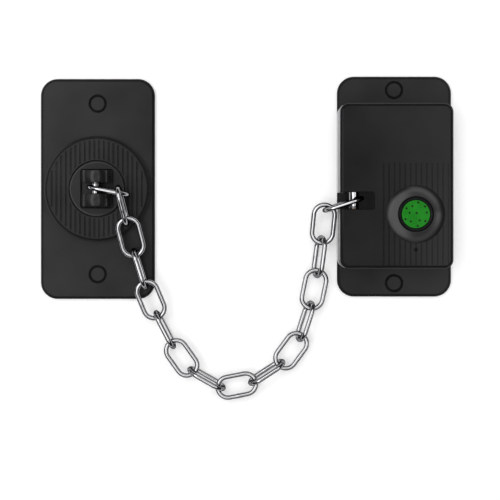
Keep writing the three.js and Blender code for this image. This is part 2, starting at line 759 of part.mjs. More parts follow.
// Link 1 lies level round the clevis pin, and link 2 hooks over its upper leg where the crown begins
const firstHeading = rad(linkHeadings[0]);
directions[1] = new THREE.Vector3(Math.cos(firstHeading), Math.sin(firstHeading), 0);
const hookPoint = pivots[1].clone().addScaledVector(directions[2], wireDiameter + hookPlay);
const hookAlong = bendCentre + legOffset * Math.sin(rad(hookAngle));
const firstTilt = rad(firstLean);
const firstUp = new THREE.Vector3(Math.sin(firstTilt) * Math.sin(firstHeading),
  -Math.sin(firstTilt) * Math.cos(firstHeading), Math.cos(firstTilt));
middles[1] = hookPoint.clone().addScaledVector(directions[1], -hookAlong)
  .addScaledVector(firstUp, -legOffset * Math.cos(rad(hookAngle)));
const clevisPivotOffset = innerCrown - clevisPinDiameter / 2 - linkPlay;
const clevisPoint = middles[1].clone().addScaledVector(directions[1], -clevisPivotOffset);

// A link's width points up, leaning over to the outer side of the chain's bight
function addLink(link) {
  const along = directions[link];
  const side = new THREE.Vector3(0, 0, 1).cross(along).normalize();
  const up = new THREE.Vector3().crossVectors(along, side);
  const lean = rad(leanOf(link));
  const across = up.clone().multiplyScalar(Math.cos(lean)).addScaledVector(side, -Math.sin(lean));
  const normal = new THREE.Vector3().crossVectors(along, across);
  const mesh = new THREE.Mesh(linkGeometry(), chrome);
  mesh.name = `chain_link_${String(link).padStart(2, "0")}`;
  mesh.quaternion.setFromRotationMatrix(new THREE.Matrix4().makeBasis(along, across, normal));
  mesh.position.copy(middles[link]);
  assembly.add(mesh);
}
for (let link = 1; link <= linkCount; link += 1) {
  addLink(link);
}

// Anchor unit, placed where the chain ends

const anchor = new THREE.Group();
anchor.position.set(clevisPoint.x, clevisPoint.y, 0);
assembly.add(anchor);

const rotorDiameter = rosetteDiameter * rotorShare;
const flangeDiameter = rotorDiameter + 2 * rotorFlangeReach;
const rotorBore = rotorDiameter + 2 * rotorGap;
const flangeBore = flangeDiameter + 2 * rotorGap;
const screwCircleRadius = (flangeBore + rosetteDiameter) / 4;
const rosetteScrewPlaces = [45, 135, 225, 315].map((angle) => [
  screwCircleRadius * Math.cos(rad(angle)),
  screwCircleRadius * Math.sin(rad(angle)),
]);
const anchorPlate = cut(backPlate(anchorHoleSpacing), screwHoleCuts(rosetteScrewPlaces));
place("anchor_back_plate", anchorPlate, black, anchor);
addPlugs("anchor_plug", anchorHoleSpacing, anchor);
addScrews("rosette_screw", rosetteScrewPlaces, rosetteScrewLength, anchor);

// Ribbed rosette, bored out for the rotor and counterbored below for its flange
const lipBottom = rosetteTop - rosetteLip;
const rosetteRadius = rosetteDiameter / 2;
const rosetteProfile = [[rotorBore / 2, lipBottom], [flangeBore / 2, lipBottom],
  [flangeBore / 2, plateThickness], [rosetteRadius, plateThickness],
  [rosetteRadius, rosetteTop - rosetteBevel], [rosetteRadius - rosetteBevel, rosetteTop],
  [rotorBore / 2, rosetteTop], [rotorBore / 2, lipBottom]];
const ribbedOuter = rosetteRadius - rosetteGrooveMargin;
const ribbedInner = rotorBore / 2 + rosetteGrooveMargin / 2;
const rosetteGrooves = [];
const grooveHalfCount = Math.floor(ribbedOuter / rosetteGroovePitch);
for (let index = -grooveHalfCount; index < grooveHalfCount; index += 1) {
  const x = (index + 0.5) * rosetteGroovePitch;
  const reach = Math.sqrt(ribbedOuter ** 2 - x ** 2) - overrun / 2;
  if (reach > rosetteGroovePitch) {
    rosetteGrooves.push(bar(x, rosetteGrooveWidth, -reach, reach,
      rosetteTop - rosetteGrooveDepth, rosetteTop + overrun));
  }
}
const plainMiddle = disc(2 * ribbedInner, plateThickness, rosetteTop + 2 * overrun);
const rosetteHoleTop = screwHeadTop + rosetteScrewLength + screwClearance;
const rosetteScrewHoles = discsAt(rosetteScrewPlaces, screwHoleDiameter, plateThickness - overrun,
  rosetteHoleTop, smallSides);
const rosetteRibs = rosetteGrooves.map((groove) => cut(groove, plainMiddle));
const rosette = cut(revolve(rosetteProfile, rosetteSides), rosetteRibs, rosetteScrewHoles);
place("anchor_rosette", rosette, black, anchor);

const washerBore = flangeDiameter * washerBoreShare;
const washer = ring(flangeDiameter, washerBore, plateThickness, plateThickness + washerThickness);
place("swivel_washer", washer, nylon, anchor);

// Rotor with its sunk pocket and the two ears of the clevis
const swivel = new THREE.Group();
anchor.add(swivel);
const rotorBottom = plateThickness + washerThickness + rotorEndPlay;
const flangeLevel = rotorBottom + rotorFlangeThickness;
const rotorTop = rosetteTop + rotorRise;
const rotorRadius = rotorDiameter / 2;
const rotorFlangeRadius = flangeDiameter / 2;
const rotorProfile = [[0, rotorBottom], [rotorFlangeRadius, rotorBottom], [rotorFlangeRadius, flangeLevel],
  [rotorRadius, flangeLevel], [rotorRadius, rotorTop - rotorBevel], [rotorRadius - rotorBevel, rotorTop],
  [0, rotorTop]];
const pocketFloor = rotorTop - pocketDepth;
const pocketWidth = rotorDiameter * pocketWidthShare;
const pocketHeight = rotorDiameter * pocketHeightShare;
const earGap = wireDiameter + 2 * earSideClearance;
const earWidth = pocketWidth - 2 * earEdgeClearance;
const earThickness = (pocketHeight - earGap) / 2 - earOuterClearance;
const pocketOutline = roundedRectangle(pocketWidth, pocketHeight, pocketCornerRadius);
const pocket = slab(pocketOutline, pocketFloor, rotorTop + overrun);

function ear(start) {
  const radius = earWidth / 2;
  const shape = new THREE.Shape();
  shape.moveTo(-radius, pocketFloor - overrun / 2);
  shape.lineTo(radius, pocketFloor - overrun / 2);
  shape.absarc(0, clevisPinHeight, radius, 0, Math.PI);
  const settings = { depth: earThickness, curveSegments: smallSides, bevelEnabled: false };
  const geometry = new THREE.ExtrudeGeometry(shape, settings);
  geometry.rotateX(Math.PI / 2);
  geometry.translate(0, start + earThickness, 0);
  return geometry;
}
const earReach = earGap / 2 + earThickness;
const pinBoreDiameter = clevisPinDiameter + 2 * clevisPinClearance;
const pinBore = alongY(disc(pinBoreDiameter, -earReach - overrun, earReach + overrun, smallSides));
pinBore.translate(0, 0, clevisPinHeight);
const ears = cut(join(ear(earGap / 2), ear(-earReach)), pinBore);
const rotor = cut(revolve(rotorProfile, rosetteSides), pocket);
place("swivel_rotor", join(rotor, ears), black, swivel);

const clevisPinReach = earReach - clevisPinRecess;
const clevisPin = alongY(disc(clevisPinDiameter, -clevisPinReach, clevisPinReach, smallSides));
place("clevis_pin", clevisPin.translate(0, 0, clevisPinHeight), chrome, swivel);

export default assembly;
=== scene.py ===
import math
from functools import partial
import bmesh
import bpy
import numpy as np
from mathutils import Matrix, Vector


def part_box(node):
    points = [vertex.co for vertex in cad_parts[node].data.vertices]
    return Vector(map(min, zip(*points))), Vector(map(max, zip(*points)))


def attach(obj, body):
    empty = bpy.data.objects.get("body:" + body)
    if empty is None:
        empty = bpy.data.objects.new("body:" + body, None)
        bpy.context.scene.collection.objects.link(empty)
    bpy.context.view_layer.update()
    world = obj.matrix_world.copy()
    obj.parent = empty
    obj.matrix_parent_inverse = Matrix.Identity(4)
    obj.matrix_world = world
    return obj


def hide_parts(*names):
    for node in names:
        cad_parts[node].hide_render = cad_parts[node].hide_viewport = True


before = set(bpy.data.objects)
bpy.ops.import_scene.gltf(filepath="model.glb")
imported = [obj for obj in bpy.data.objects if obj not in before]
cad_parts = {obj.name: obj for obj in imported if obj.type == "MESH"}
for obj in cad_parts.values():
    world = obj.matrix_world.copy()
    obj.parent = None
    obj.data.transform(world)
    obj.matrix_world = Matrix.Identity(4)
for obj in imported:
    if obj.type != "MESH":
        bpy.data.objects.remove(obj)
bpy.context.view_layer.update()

# Camera: it looks straight down on the two units as they lie on their backs, from about three quarters of
# a metre, so each raised front covers its own right side and shows its left one.
scene = bpy.context.scene
mm = 0.001
view_height = 740 * mm
view_width_on_plates = 238.5 * mm
view_centre_x = -68.76 * mm
view_centre_y = -20.7 * mm
plate_top_height = 3.2 * mm
sensor_width = 36


def put_in_scene(name, data):
    item = bpy.data.objects.new(name, data)
    scene.collection.objects.link(item)
    return item


camera_data = bpy.data.cameras.new("Camera")
camera_data.sensor_width = sensor_width
camera_data.lens = sensor_width * (view_height - plate_top_height) / view_width_on_plates
camera_data.shift_y = -0.04
camera_data.clip_start = 0.01
camera = put_in_scene("Camera", camera_data)
camera.location = (view_centre_x, view_centre_y, view_height)
scene.camera = camera
scene.view_settings.view_transform = "Standard"


# Studio: a pale floor under a wide soft ceiling of light that is dim straight overhead, where the camera
# hangs, and a soft lamp on the left. The floor keeps the shadow and otherwise reads as white.
def shader_tree(owner):
    owner.use_nodes = True
    owner.node_tree.nodes.clear()
    return owner.node_tree


def add_node(tree, kind, inputs=None, **settings):
    node = tree.nodes.new(kind)
    for name, value in settings.items():
        setattr(node, name, value)
    for name, value in (inputs or {}).items():
        if isinstance(value, bpy.types.NodeSocket):
            tree.links.new(value, node.inputs[name])
        else:
            node.inputs[name].default_value = value
    return node


def math_node(tree, operation, first, second=0.0, third=0.0):
    node = add_node(tree, "ShaderNodeMath", {0: first, 1: second, 2: third}, operation=operation)
    return node.outputs[0]


def map_node(tree, value, start, end, low=0.0, high=1.0, **settings):
    return add_node(tree, "ShaderNodeMapRange", {"Value": value, "From Min": start, "From Max": end,
                                                 "To Min": low, "To Max": high}, **settings).outputs[0]


def mix_colours(tree, share, first, second):
    return add_node(tree, "ShaderNodeMix", {0: share, 6: first, 7: second}, data_type="RGBA").outputs[2]


def ramp_node(tree, factor, stops):
    node = add_node(tree, "ShaderNodeValToRGB", {"Fac": factor})
    ramp = node.color_ramp
    while len(ramp.elements) < len(stops):
        ramp.elements.new(1.0)
    for element, (place, colour) in zip(ramp.elements, stops):
        element.position = place
        element.color = (*colour, 1)
    return node.outputs["Color"]


def grey_ramp(tree, factor, stops):
    return ramp_node(tree, factor, [(place, (level, level, level)) for place, level in stops])


world = bpy.data.worlds.new("Studio")
scene.world = world
sky = shader_tree(world)
direction = add_node(sky, "ShaderNodeTexCoord").outputs["Generated"]
along = add_node(sky, "ShaderNodeSeparateXYZ", {0: direction})
tilt = math_node(sky, "DIVIDE", math_node(sky, "ARCCOSINE", along.outputs["Z"]), math.pi / 2)
left_ceiling = grey_ramp(sky, tilt, [
    (0.0, 0.02), (0.05, 0.08), (0.09, 0.2), (0.12, 0.6), (0.15, 1.0), (0.36, 1.0), (0.41, 0.03),
    (1.0, 0.01)])
right_ceiling = grey_ramp(sky, tilt, [
    (0.0, 0.02), (0.055, 0.03), (0.072, 0.12), (0.088, 0.42), (0.14, 0.75), (0.17, 0.75), (0.21, 0.45),
    (0.32, 0.42), (0.36, 1.0), (0.43, 1.0), (0.48, 0.03), (1.0, 0.01)])
to_right = map_node(sky, along.outputs["X"], -0.2, 0.1, interpolation_type="SMOOTHSTEP")
to_back = map_node(sky, along.outputs["Y"], -0.4, 0.4)
front_to_back = grey_ramp(sky, to_back, [
    (0.1, 0.45), (0.4, 1.0), (0.53, 1.0), (0.61, 0.4), (0.7, 0.55), (0.9, 0.85)])
right_side = math_node(sky, "MULTIPLY", right_ceiling, front_to_back)
ceiling = mix_colours(sky, to_right, left_ceiling, right_side)
background = add_node(sky, "ShaderNodeBackground", {"Color": ceiling, "Strength": 3.75})
add_node(sky, "ShaderNodeOutputWorld", {"Surface": background.outputs[0]})

lamp_data = bpy.data.lights.new("Soft lamp", "AREA")
lamp_data.shape = "RECTANGLE"
lamp_data.size = 0.5
lamp_data.size_y = 0.7
lamp_data.energy = 1.0
lamp = put_in_scene("Soft lamp", lamp_data)
lamp.location = (-0.62, 0.16, 0.5)
lamp_target = Vector((-0.07, -0.03, 0))
lamp.rotation_euler = (lamp_target - lamp.location).to_track_quat("-Z", "Y").to_euler()

half_floor = 3.0
floor_gap = 0.05 * mm
floor_tone = 0.72
floor_glow = 0.34
floor_mesh = bpy.data.meshes.new("Floor")
floor_mesh.from_pydata([(side_x * half_floor, side_y * half_floor, 0)
                        for side_x, side_y in ((-1, -1), (1, -1), (1, 1), (-1, 1))], [], [(0, 1, 2, 3)])
floor = put_in_scene("Floor", floor_mesh)
floor.location.z = -floor_gap


def new_finish(name):
    material = bpy.data.materials.new(name)
    return material, shader_tree(material)


def finish_shader(tree, inputs):
    surface = add_node(tree, "ShaderNodeBsdfPrincipled", inputs)
    add_node(tree, "ShaderNodeOutputMaterial", {"Surface": surface.outputs[0]})


floor_paint, tree = new_finish("Pale floor")
ray = add_node(tree, "ShaderNodeLightPath")
seen = math_node(tree, "MAXIMUM", ray.outputs["Is Camera Ray"], ray.outputs["Is Glossy Ray"])
seen = math_node(tree, "MAXIMUM", seen, ray.outputs["Is Transmission Ray"])
finish_shader(tree, {"Base Color": (floor_tone, floor_tone, floor_tone, 1), "Roughness": 0.9,
                     "Emission Color": (1, 1, 1, 1),
                     "Emission Strength": math_node(tree, "MULTIPLY", seen, floor_glow)})
floor_mesh.materials.append(floor_paint)

# Back plates: two pressed steel plates with rounded corners and a soft upper edge, powder coated black.
# Each has a round seat at both ends for a screw cap, and small seats in its back for the screws that hold
# the housing or the rosette.
plate_width = 54.4
plate_height = 105.0
plate_thickness = 3.2
plate_corner = 8.0
plate_edge = 1.25
plate_back_edge = 0.2
crease_angle = math.radians(25)
flat_enough = 0.99995
cap_seat_radius = 4.25
cap_seat_floor = 1.7
cap_seat_lead_in = [(0.18, 0), (0.05, 0.06), (0, 0.2)]
wood_screw_hole_radius = 2.2
back_screw_hole_radius = 1.45
back_screw_seat_radius = 2.5
back_screw_seat_depth = 1.6
lock_cap_offset = 46.05
anchor_cap_offset = 40.7


def centre_of(node):
    low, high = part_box(node)
    return (low.x + high.x) / 2 / mm, (low.y + high.y) / 2 / mm


anchor_centre = centre_of("anchor_back_plate")
anchor_x, anchor_y = anchor_centre
lock_cap_places = [(0, side * lock_cap_offset) for side in (1, -1)]
anchor_cap_places = [(anchor_x, anchor_y + side * anchor_cap_offset) for side in (1, -1)]
cover_screw_places = [centre_of(f"cover_screw_{n}") for n in (1, 2, 3, 4)]
rosette_screw_places = [centre_of(f"rosette_screw_{n}") for n in (1, 2, 3, 4)]


def rounded_outline(width, height, radius, centre=(0, 0), steps=14):
    points = []
    for quarter, (side_x, side_y) in enumerate([(1, 1), (-1, 1), (-1, -1), (1, -1)]):
        for step in range(steps + 1):
            angle = math.pi / 2 * (quarter + step / steps)
            points.append((centre[0] + side_x * (width / 2 - radius) + radius * math.cos(angle),
                           centre[1] + side_y * (height / 2 - radius) + radius * math.sin(angle)))
    return points


# One rounded outline for each pair of inset and height, for a wall that follows a rounded rectangle
def rounded_levels(width, height, radius, pairs, centre=(0, 0), steps=14):
    return [(rounded_outline(width - 2 * inset, height - 2 * inset, radius - inset, centre, steps), z)
            for inset, z in pairs]


def circle_outline(radius, centre=(0, 0), sides=64):
    return [(centre[0] + radius * math.cos(2 * math.pi * n / sides),
             centre[1] + radius * math.sin(2 * math.pi * n / sides)) for n in range(sides)]


def add_loop(bm, outline, height):
    return [bm.verts.new((x, y, height)) for x, y in outline]


def bridge(bm, first, second):
    for n in range(len(first)):
        bm.faces.new((first[n - 1], first[n], second[n], second[n - 1]))


def fill_between(bm, loops):
    edges = []
    for loop in loops:
        for n in range(len(loop)):
            edges.append(bm.edges.get((loop[n - 1], loop[n])) or bm.edges.new((loop[n - 1], loop[n])))
    bmesh.ops.triangle_fill(bm, use_beauty=True, edges=edges)


# A wall is a stack of outlines at their heights, joined one to the next
def add_wall(bm, levels):
    loops = [add_loop(bm, outline, height) for outline, height in levels]
    for first, second in zip(loops, loops[1:]):
        bridge(bm, first, second)
    return loops


# A soft edge as pairs of inset and drop: a short upright lip, a slope and a rounded shoulder
def chamfer(size):
    shares = [(0, 0.75), (0.04, 0.68), (0.92, 0.05), (1, 0)]
    return [(inset * size, drop * size) for inset, drop in shares]


# A small rounded edge as pairs of inset and rise
def soft_foot(size):
    return [(size, 0), (size * 0.3, size * 0.3), (0, size)]


# Flat faces stay flat and curved ones shade smoothly up to the crease angle
def shade(mesh):
    mesh.shade_smooth()
    mesh.set_sharp_from_angle(angle=crease_angle)
    for face in mesh.polygons:
        if max(abs(c) for c in face.normal) > flat_enough:
            face.use_smooth = False


def finish_mesh(bm, material=None):
    bmesh.ops.remove_doubles(bm, verts=bm.verts, dist=0.0004)
    bmesh.ops.recalc_face_normals(bm, faces=bm.faces)
    bmesh.ops.scale(bm, vec=(mm, mm, mm), verts=bm.verts)
    mesh = bpy.data.meshes.new("piece")
    bm.to_mesh(mesh)
    bm.free()
    shade(mesh)
    if material:
        mesh.materials.append(material)
    return mesh


def show(name, mesh, body, slot, *nodes):
    mesh.name = name
    piece = put_in_scene(name, mesh)
    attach(piece, body)
    if nodes:
        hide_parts(*nodes)


def plate_mesh(centre, cap_places, screw_places, material):
    bm = bmesh.new()
    outside = soft_foot(plate_back_edge)
    outside += [(inset, plate_thickness - drop) for inset, drop in chamfer(plate_edge)]
    wall = add_wall(bm, rounded_levels(plate_width, plate_height, plate_corner, outside, centre))
    tops, bottoms = [wall[-1]], [wall[0]]
    cap_shaft = [(cap_seat_radius + out, plate_thickness - down) for out, down in cap_seat_lead_in]
    cap_shaft += [(cap_seat_radius, cap_seat_floor), (wood_screw_hole_radius, cap_seat_floor),
                  (wood_screw_hole_radius, 0)]
    screw_shaft = [(back_screw_hole_radius, plate_thickness), (back_screw_hole_radius, back_screw_seat_depth),
                   (back_screw_seat_radius, back_screw_seat_depth), (back_screw_seat_radius, 0)]
    for places, levels, sides in ((cap_places, cap_shaft, 64), (screw_places, screw_shaft, 32)):
        for place in places:
            shaft = add_wall(bm, [(circle_outline(radius, place, sides), z) for radius, z in levels])
            tops.append(shaft[0])
            bottoms.append(shaft[-1])
    fill_between(bm, tops)
    fill_between(bm, bottoms)
    return finish_mesh(bm, material)


# Grain, blotches and edge wear are shared by the coated, moulded and metal finishes. On the black coat and the
# black plastic the darker edge tone is also painted shade, a dark line along every edge
def shader_group(name, inputs, outputs):
    group = bpy.data.node_groups.new(name, "ShaderNodeTree")
    for socket, value in inputs:
        made = group.interface.new_socket(name=socket, in_out="INPUT", socket_type="NodeSocketFloat")
        made.default_value = value
    for socket in outputs:
        group.interface.new_socket(name=socket, in_out="OUTPUT", socket_type="NodeSocketFloat")
    return group, group.nodes.new("NodeGroupInput").outputs, group.nodes.new("NodeGroupOutput").inputs


def place_on(tree):
    return add_node(tree, "ShaderNodeTexCoord").outputs["Object"]


def noise_of_size(tree, size, detail):
    scale = math_node(tree, "DIVIDE", 1.0, size)
    return add_node(tree, "ShaderNodeTexNoise", {
        "Vector": place_on(tree), "Scale": scale, "Detail": detail}).outputs["Fac"]


grain_group, given, made = shader_group(
    "Surface grain", [("Grain Size", 0.0004), ("Blotch Size", 0.02)], ["Height", "Blotch"])
grain_group.links.new(noise_of_size(grain_group, given["Grain Size"], 2.0), made["Height"])
grain_group.links.new(noise_of_size(grain_group, given["Blotch Size"], 4.0), made["Blotch"])

# The edge mask carries real wear, and on the black finishes also painted edge shade
wear_reach = 0.5 * mm
edge_wear_and_shade_group, given, made = shader_group("Edge wear and shade", [("Breakup Size", 0.003), ("Amount", 0.5)], ["Wear"])
maths = partial(math_node, edge_wear_and_shade_group)
rounded = add_node(edge_wear_and_shade_group, "ShaderNodeBevel", {"Radius": wear_reach}, samples=4)
true_normal = add_node(edge_wear_and_shade_group, "ShaderNodeNewGeometry").outputs["Normal"]
facing = add_node(edge_wear_and_shade_group, "ShaderNodeVectorMath", {0: rounded.outputs[0], 1: true_normal},
                  operation="DOT_PRODUCT").outputs["Value"]
edge = map_node(edge_wear_and_shade_group, facing, 0.995, 0.8)
patchy = map_node(edge_wear_and_shade_group, noise_of_size(edge_wear_and_shade_group, given["Breakup Size"], 5.0), 0.25, 0.5)
edge_wear_and_shade_group.links.new(maths("MULTIPLY", maths("MULTIPLY", edge, patchy), given["Amount"]), made["Wear"])


# The middle of a pattern's values runs from one tone, or one level, to the other
def two_tones(tree, pattern, dark, light):
    return ramp_node(tree, pattern, [(0.3, dark), (0.7, light)])


def two_levels(tree, pattern, low, high):
    return map_node(tree, pattern, 0.3, 0.7, low, high)


def grain_on(tree, grain_size, blotch_size):
    return add_node(tree, "ShaderNodeGroup", {"Grain Size": grain_size, "Blotch Size": blotch_size},
                    node_tree=grain_group).outputs


def edge_wear_and_shade_on(tree, breakup_size, amount):
    return add_node(tree, "ShaderNodeGroup", {"Breakup Size": breakup_size, "Amount": amount},
                    node_tree=edge_wear_and_shade_group).outputs["Wear"]


def relief(tree, height, strength, depth):
    return add_node(tree, "ShaderNodeBump", {"Height": height, "Strength": strength,
                                             "Distance": depth}).outputs[0]


# A finish with grain in its relief, blotches in its tone and gloss, and its own tone along edges: wear, and
# where that tone is darker than the finish, also painted edge shade
def grained_finish(name, tone, edge_wear_and_shade_tone, gloss, grain_size, depth, metallic=0.0, blotch_size=0.02,
                   tone_spread=0.12, gloss_spread=0.08, wear=0.5, specular=0.5):
    material, tree = new_finish(name)
    grain = grain_on(tree, grain_size, blotch_size)
    worn = edge_wear_and_shade_on(tree, breakup_size=0.003, amount=wear)
    dark, light = (tuple(c * share for c in tone) for share in (1 - tone_spread, 1 + tone_spread))
    colour = two_tones(tree, grain["Blotch"], dark, light)
    rough = two_levels(tree, grain["Blotch"], gloss - gloss_spread, gloss + gloss_spread)
    finish_shader(tree, {
        "Base Color": mix_colours(tree, worn, colour, (*edge_wear_and_shade_tone, 1)),
        "Roughness": math_node(tree, "MULTIPLY_ADD", worn, -0.1, rough), "Metallic": metallic,
        "Normal": relief(tree, grain["Height"], 1.0, depth), "Specular IOR Level": specular})
    return material


# Its much darker edge tone is painted edge shade, a dark line along each edge, as well as the darker polish of
# rubbed edges
powder_coat = grained_finish("Black powder coat", (0.0115, 0.0115, 0.012), (0.004, 0.004, 0.0045), 0.22,
                             0.0005, 0.000004, gloss_spread=0.04, wear=0.95, specular=0.2)
for unit, centre, cap_places, screw_places in (
        ("lock", (0, 0), lock_cap_places, cover_screw_places),
        ("anchor", anchor_centre, anchor_cap_places, rosette_screw_places)):
    show(f"{unit}_plate_coated", plate_mesh(centre, cap_places, screw_places, powder_coat), unit, "black_metal",
         f"{unit}_back_plate")

# Screw caps: four turned black discs pressed into the seats of the plates, each a little below the plate's
# face, so a fine dark ring shows round it.
cap_radius = 4.0
cap_bottom = 1.7
cap_top = 2.9
cap_edge = 0.85


def turned(profile, material=None, sides=72, centre=(0, 0)):
    bm = bmesh.new()
    loops = []
    for radius, height in profile:
        if radius > 0:
            loops.append(add_loop(bm, circle_outline(radius, centre, sides), height))
        else:
            loops.append([bm.verts.new((*centre, height))])
    for first, last in zip(loops, loops[1:]):
        if len(first) == 1 or len(last) == 1:
            tip, rim = (first[0], last) if len(first) == 1 else (last[0], first)
            for n in range(len(rim)):
                bm.faces.new((rim[n - 1], rim[n], tip))
        else:
            bridge(bm, first, last)
    return finish_mesh(bm, material)


def shoulder(radius, top, pairs):
    return [(radius - inset, top - drop) for inset, drop in pairs]


cap_profile = [(0, cap_bottom), (cap_radius, cap_bottom), *shoulder(cap_radius, cap_top, chamfer(cap_edge)),
               (0, cap_top)]
for end, word in enumerate(("top", "bottom")):
    for unit, places in (("lock", lock_cap_places), ("anchor", anchor_cap_places)):
        show(f"{unit}_cap_{word}", turned(cap_profile, powder_coat, centre=places[end]), unit, "black_metal",
             f"{unit}_plug_{word}")

# Back screws: zinc-plated steel screws with a hexagon socket, driven from behind into the housing's bosses
# and into the rosette. Their heads lie in the seats of the plates.
screw_head_radius = 2.3
screw_head_bottom = 0.3
screw_head_top = 1.6
screw_head_rounding = [(0.25, 0), (0.07, 0.07), (0, 0.25)]
screw_shank_radius = 1.25
screw_plain_shank = 0.4
screw_point_length = 0.3
screw_point_taper = 0.35
screw_socket_radius = 1.0
screw_socket_floor = 1.1
thread_pitch = 0.8
thread_depth = 0.18
thread_shares = [(1, 0), (1, 0.3), (0, 0.6), (0, 0.8)]
cover_screw_length = 8.5
rosette_screw_length = 3.1


def geometry_tree(name, kinds):
    tree = bpy.data.node_groups.new(name, "GeometryNodeTree")
    tree.interface.new_socket(name="Geometry", in_out="INPUT", socket_type="NodeSocketGeometry")
    sockets = {}
    for socket, kind in [*kinds, ("Finish", "Material")]:
        made = tree.interface.new_socket(name=socket, in_out="INPUT", socket_type="NodeSocket" + kind)
        sockets[socket] = made.identifier
    tree.interface.new_socket(name="Geometry", in_out="OUTPUT", socket_type="NodeSocketGeometry")
    return tree, tree.nodes.new("NodeGroupInput").outputs, sockets


def close_tree(tree, geometry, finish):
    real = add_node(tree, "GeometryNodeRealizeInstances", {"Geometry": geometry})
    dressed = add_node(tree, "GeometryNodeSetMaterial", {"Geometry": real.outputs[0], "Material": finish})
    tree.links.new(dressed.outputs[0], tree.nodes.new("NodeGroupOutput").inputs[0])


def evaluated_mesh(item):
    bpy.context.view_layer.update()
    graph = bpy.context.evaluated_depsgraph_get()
    return bpy.data.meshes.new_from_object(item.evaluated_get(graph))


def run_tree(tree, sockets, values, points=((0, 0, 0),)):
    seed = bpy.data.meshes.new("points")
    seed.from_pydata([tuple(c * mm for c in point) for point in points], [], [])
    holder = put_in_scene("holder", seed)
    modifier = holder.modifiers.new("Making", "NODES")
    modifier.node_group = tree
    for socket, value in values.items():
        modifier[sockets[socket]] = value
    holder.update_tag()
    mesh = evaluated_mesh(holder)
    holder.modifiers.clear()
    bpy.data.objects.remove(holder)
    return mesh


repeat_tree, given, repeat_sockets = geometry_tree("Repeat at points", [("Piece", "Object")])
template = add_node(repeat_tree, "GeometryNodeObjectInfo", {"Object": given["Piece"], "As Instance": True})
copies = add_node(repeat_tree, "GeometryNodeInstanceOnPoints", {
    "Points": given["Geometry"], "Instance": template.outputs["Geometry"]})
close_tree(repeat_tree, copies.outputs[0], given["Finish"])


def repeated(template_mesh, places, material):
    piece = bpy.data.objects.new("template", template_mesh)
    mesh = run_tree(repeat_tree, repeat_sockets, {"Piece": piece, "Finish": material},
                    [(x, y, 0) for x, y in places])
    bpy.data.objects.remove(piece)
    return mesh


def screw_mesh(length):
    bm = bmesh.new()
    socket = add_wall(bm, [(circle_outline(screw_socket_radius, sides=6), height)
                           for height in (screw_head_bottom, screw_socket_floor)])
    bm.faces.new(socket[1])
    levels = [(screw_head_radius - inset, screw_head_bottom + rise) for inset, rise in screw_head_rounding]
    levels += [(screw_head_radius, screw_head_top), (screw_shank_radius, screw_head_top)]
    height = screw_head_top + screw_plain_shank
    end = screw_head_top + length
    while height + thread_pitch < end - screw_point_length:
        levels += [(screw_shank_radius - thread_depth * depth, height + thread_pitch * rise)
                   for depth, rise in thread_shares]
        height += thread_pitch
    levels += [(screw_shank_radius, end - screw_point_length), (screw_shank_radius - screw_point_taper, end)]
    wall = add_wall(bm, [(circle_outline(radius, sides=30), z) for radius, z in levels])
    bm.faces.new(wall[-1])
    fill_between(bm, [wall[0], socket[0]])
    return finish_mesh(bm)


zinc = grained_finish("Zinc plating", (0.5, 0.51, 0.53), (0.62, 0.62, 0.63), 0.34, 0.0006, 0.000004,
                      metallic=1.0, blotch_size=0.006, wear=0.4)
for unit, nodes, places, length in (("lock", "cover_screw", cover_screw_places, cover_screw_length),
                                    ("anchor", "rosette_screw", rosette_screw_places, rosette_screw_length)):
    show(f"{unit}_back_screws", repeated(screw_mesh(length), places, zinc), unit, "zinc_plated",
         *[f"{nodes}_{n}" for n in (1, 2, 3, 4)])

# Side frame: a bright die-cast metal ring between the plate and the cover, brushed along its length, with a
# bevel round its upper edge. The notch for the chain is cut through its left side.
frame_height = 77.2
frame_corner = 4.2
frame_bottom = 3.2
frame_top = 11.6
frame_bevel = [(0, 0.5), (0.03, 0.45), (0.66, 0.02), (0.7, 0)]
inside_width = 49.0
inside_height = 73.6
inside_corner = 3.5
notch_end_x = -10.6
notch_centre_y = -6.95
notch_height = 7.9
notch_corner = 1.0
notch_overshoot = 2.0
frame_notch_flare = 0.02
tool_overrun = 1.0
brush_scale = (9000, 60, 9000)


def carve(mesh, tools, operation="DIFFERENCE"):
    body = put_in_scene("carved", mesh)
    cutters = []
    for tool in tools:
        cutters.append(put_in_scene("cutter", tool))
        modifier = body.modifiers.new("Cut", "BOOLEAN")
        modifier.operation = operation
        modifier.solver = "MANIFOLD"
        modifier.object = cutters[-1]
    made = evaluated_mesh(body)
    for done in [body, *cutters]:
        bpy.data.objects.remove(done)
    return made


def stacked(levels):
    bm = bmesh.new()
    wall = add_wall(bm, levels)
    fill_between(bm, [wall[0]])
    fill_between(bm, [wall[-1]])
    return finish_mesh(bm)


# A block with rounded corners, upright between two heights
def block(width, height, corner, bottom, top, centre=(0, 0)):
    return stacked(rounded_levels(width, height, corner, [(0, bottom), (0, top)], centre))


def tidy_cut(mesh, material):
    bm = bmesh.new()
    bm.from_mesh(mesh)
    bmesh.ops.remove_doubles(bm, verts=bm.verts, dist=0.000002)
    bmesh.ops.dissolve_degenerate(bm, edges=bm.edges, dist=0.0000005)
    bm.to_mesh(mesh)
    bm.free()
    shade(mesh)
    mesh.materials.clear()
    mesh.materials.append(material)
    return mesh


def notch_tool(bottom, top, flare):
    length = plate_width / 2 + notch_end_x + notch_overshoot
    centre = (notch_end_x - length / 2, notch_centre_y)
    return stacked(rounded_levels(length, notch_height, notch_corner, [
        (0, bottom - tool_overrun), (0, top - flare), (-flare, top), (-flare, top + tool_overrun)], centre, 8))


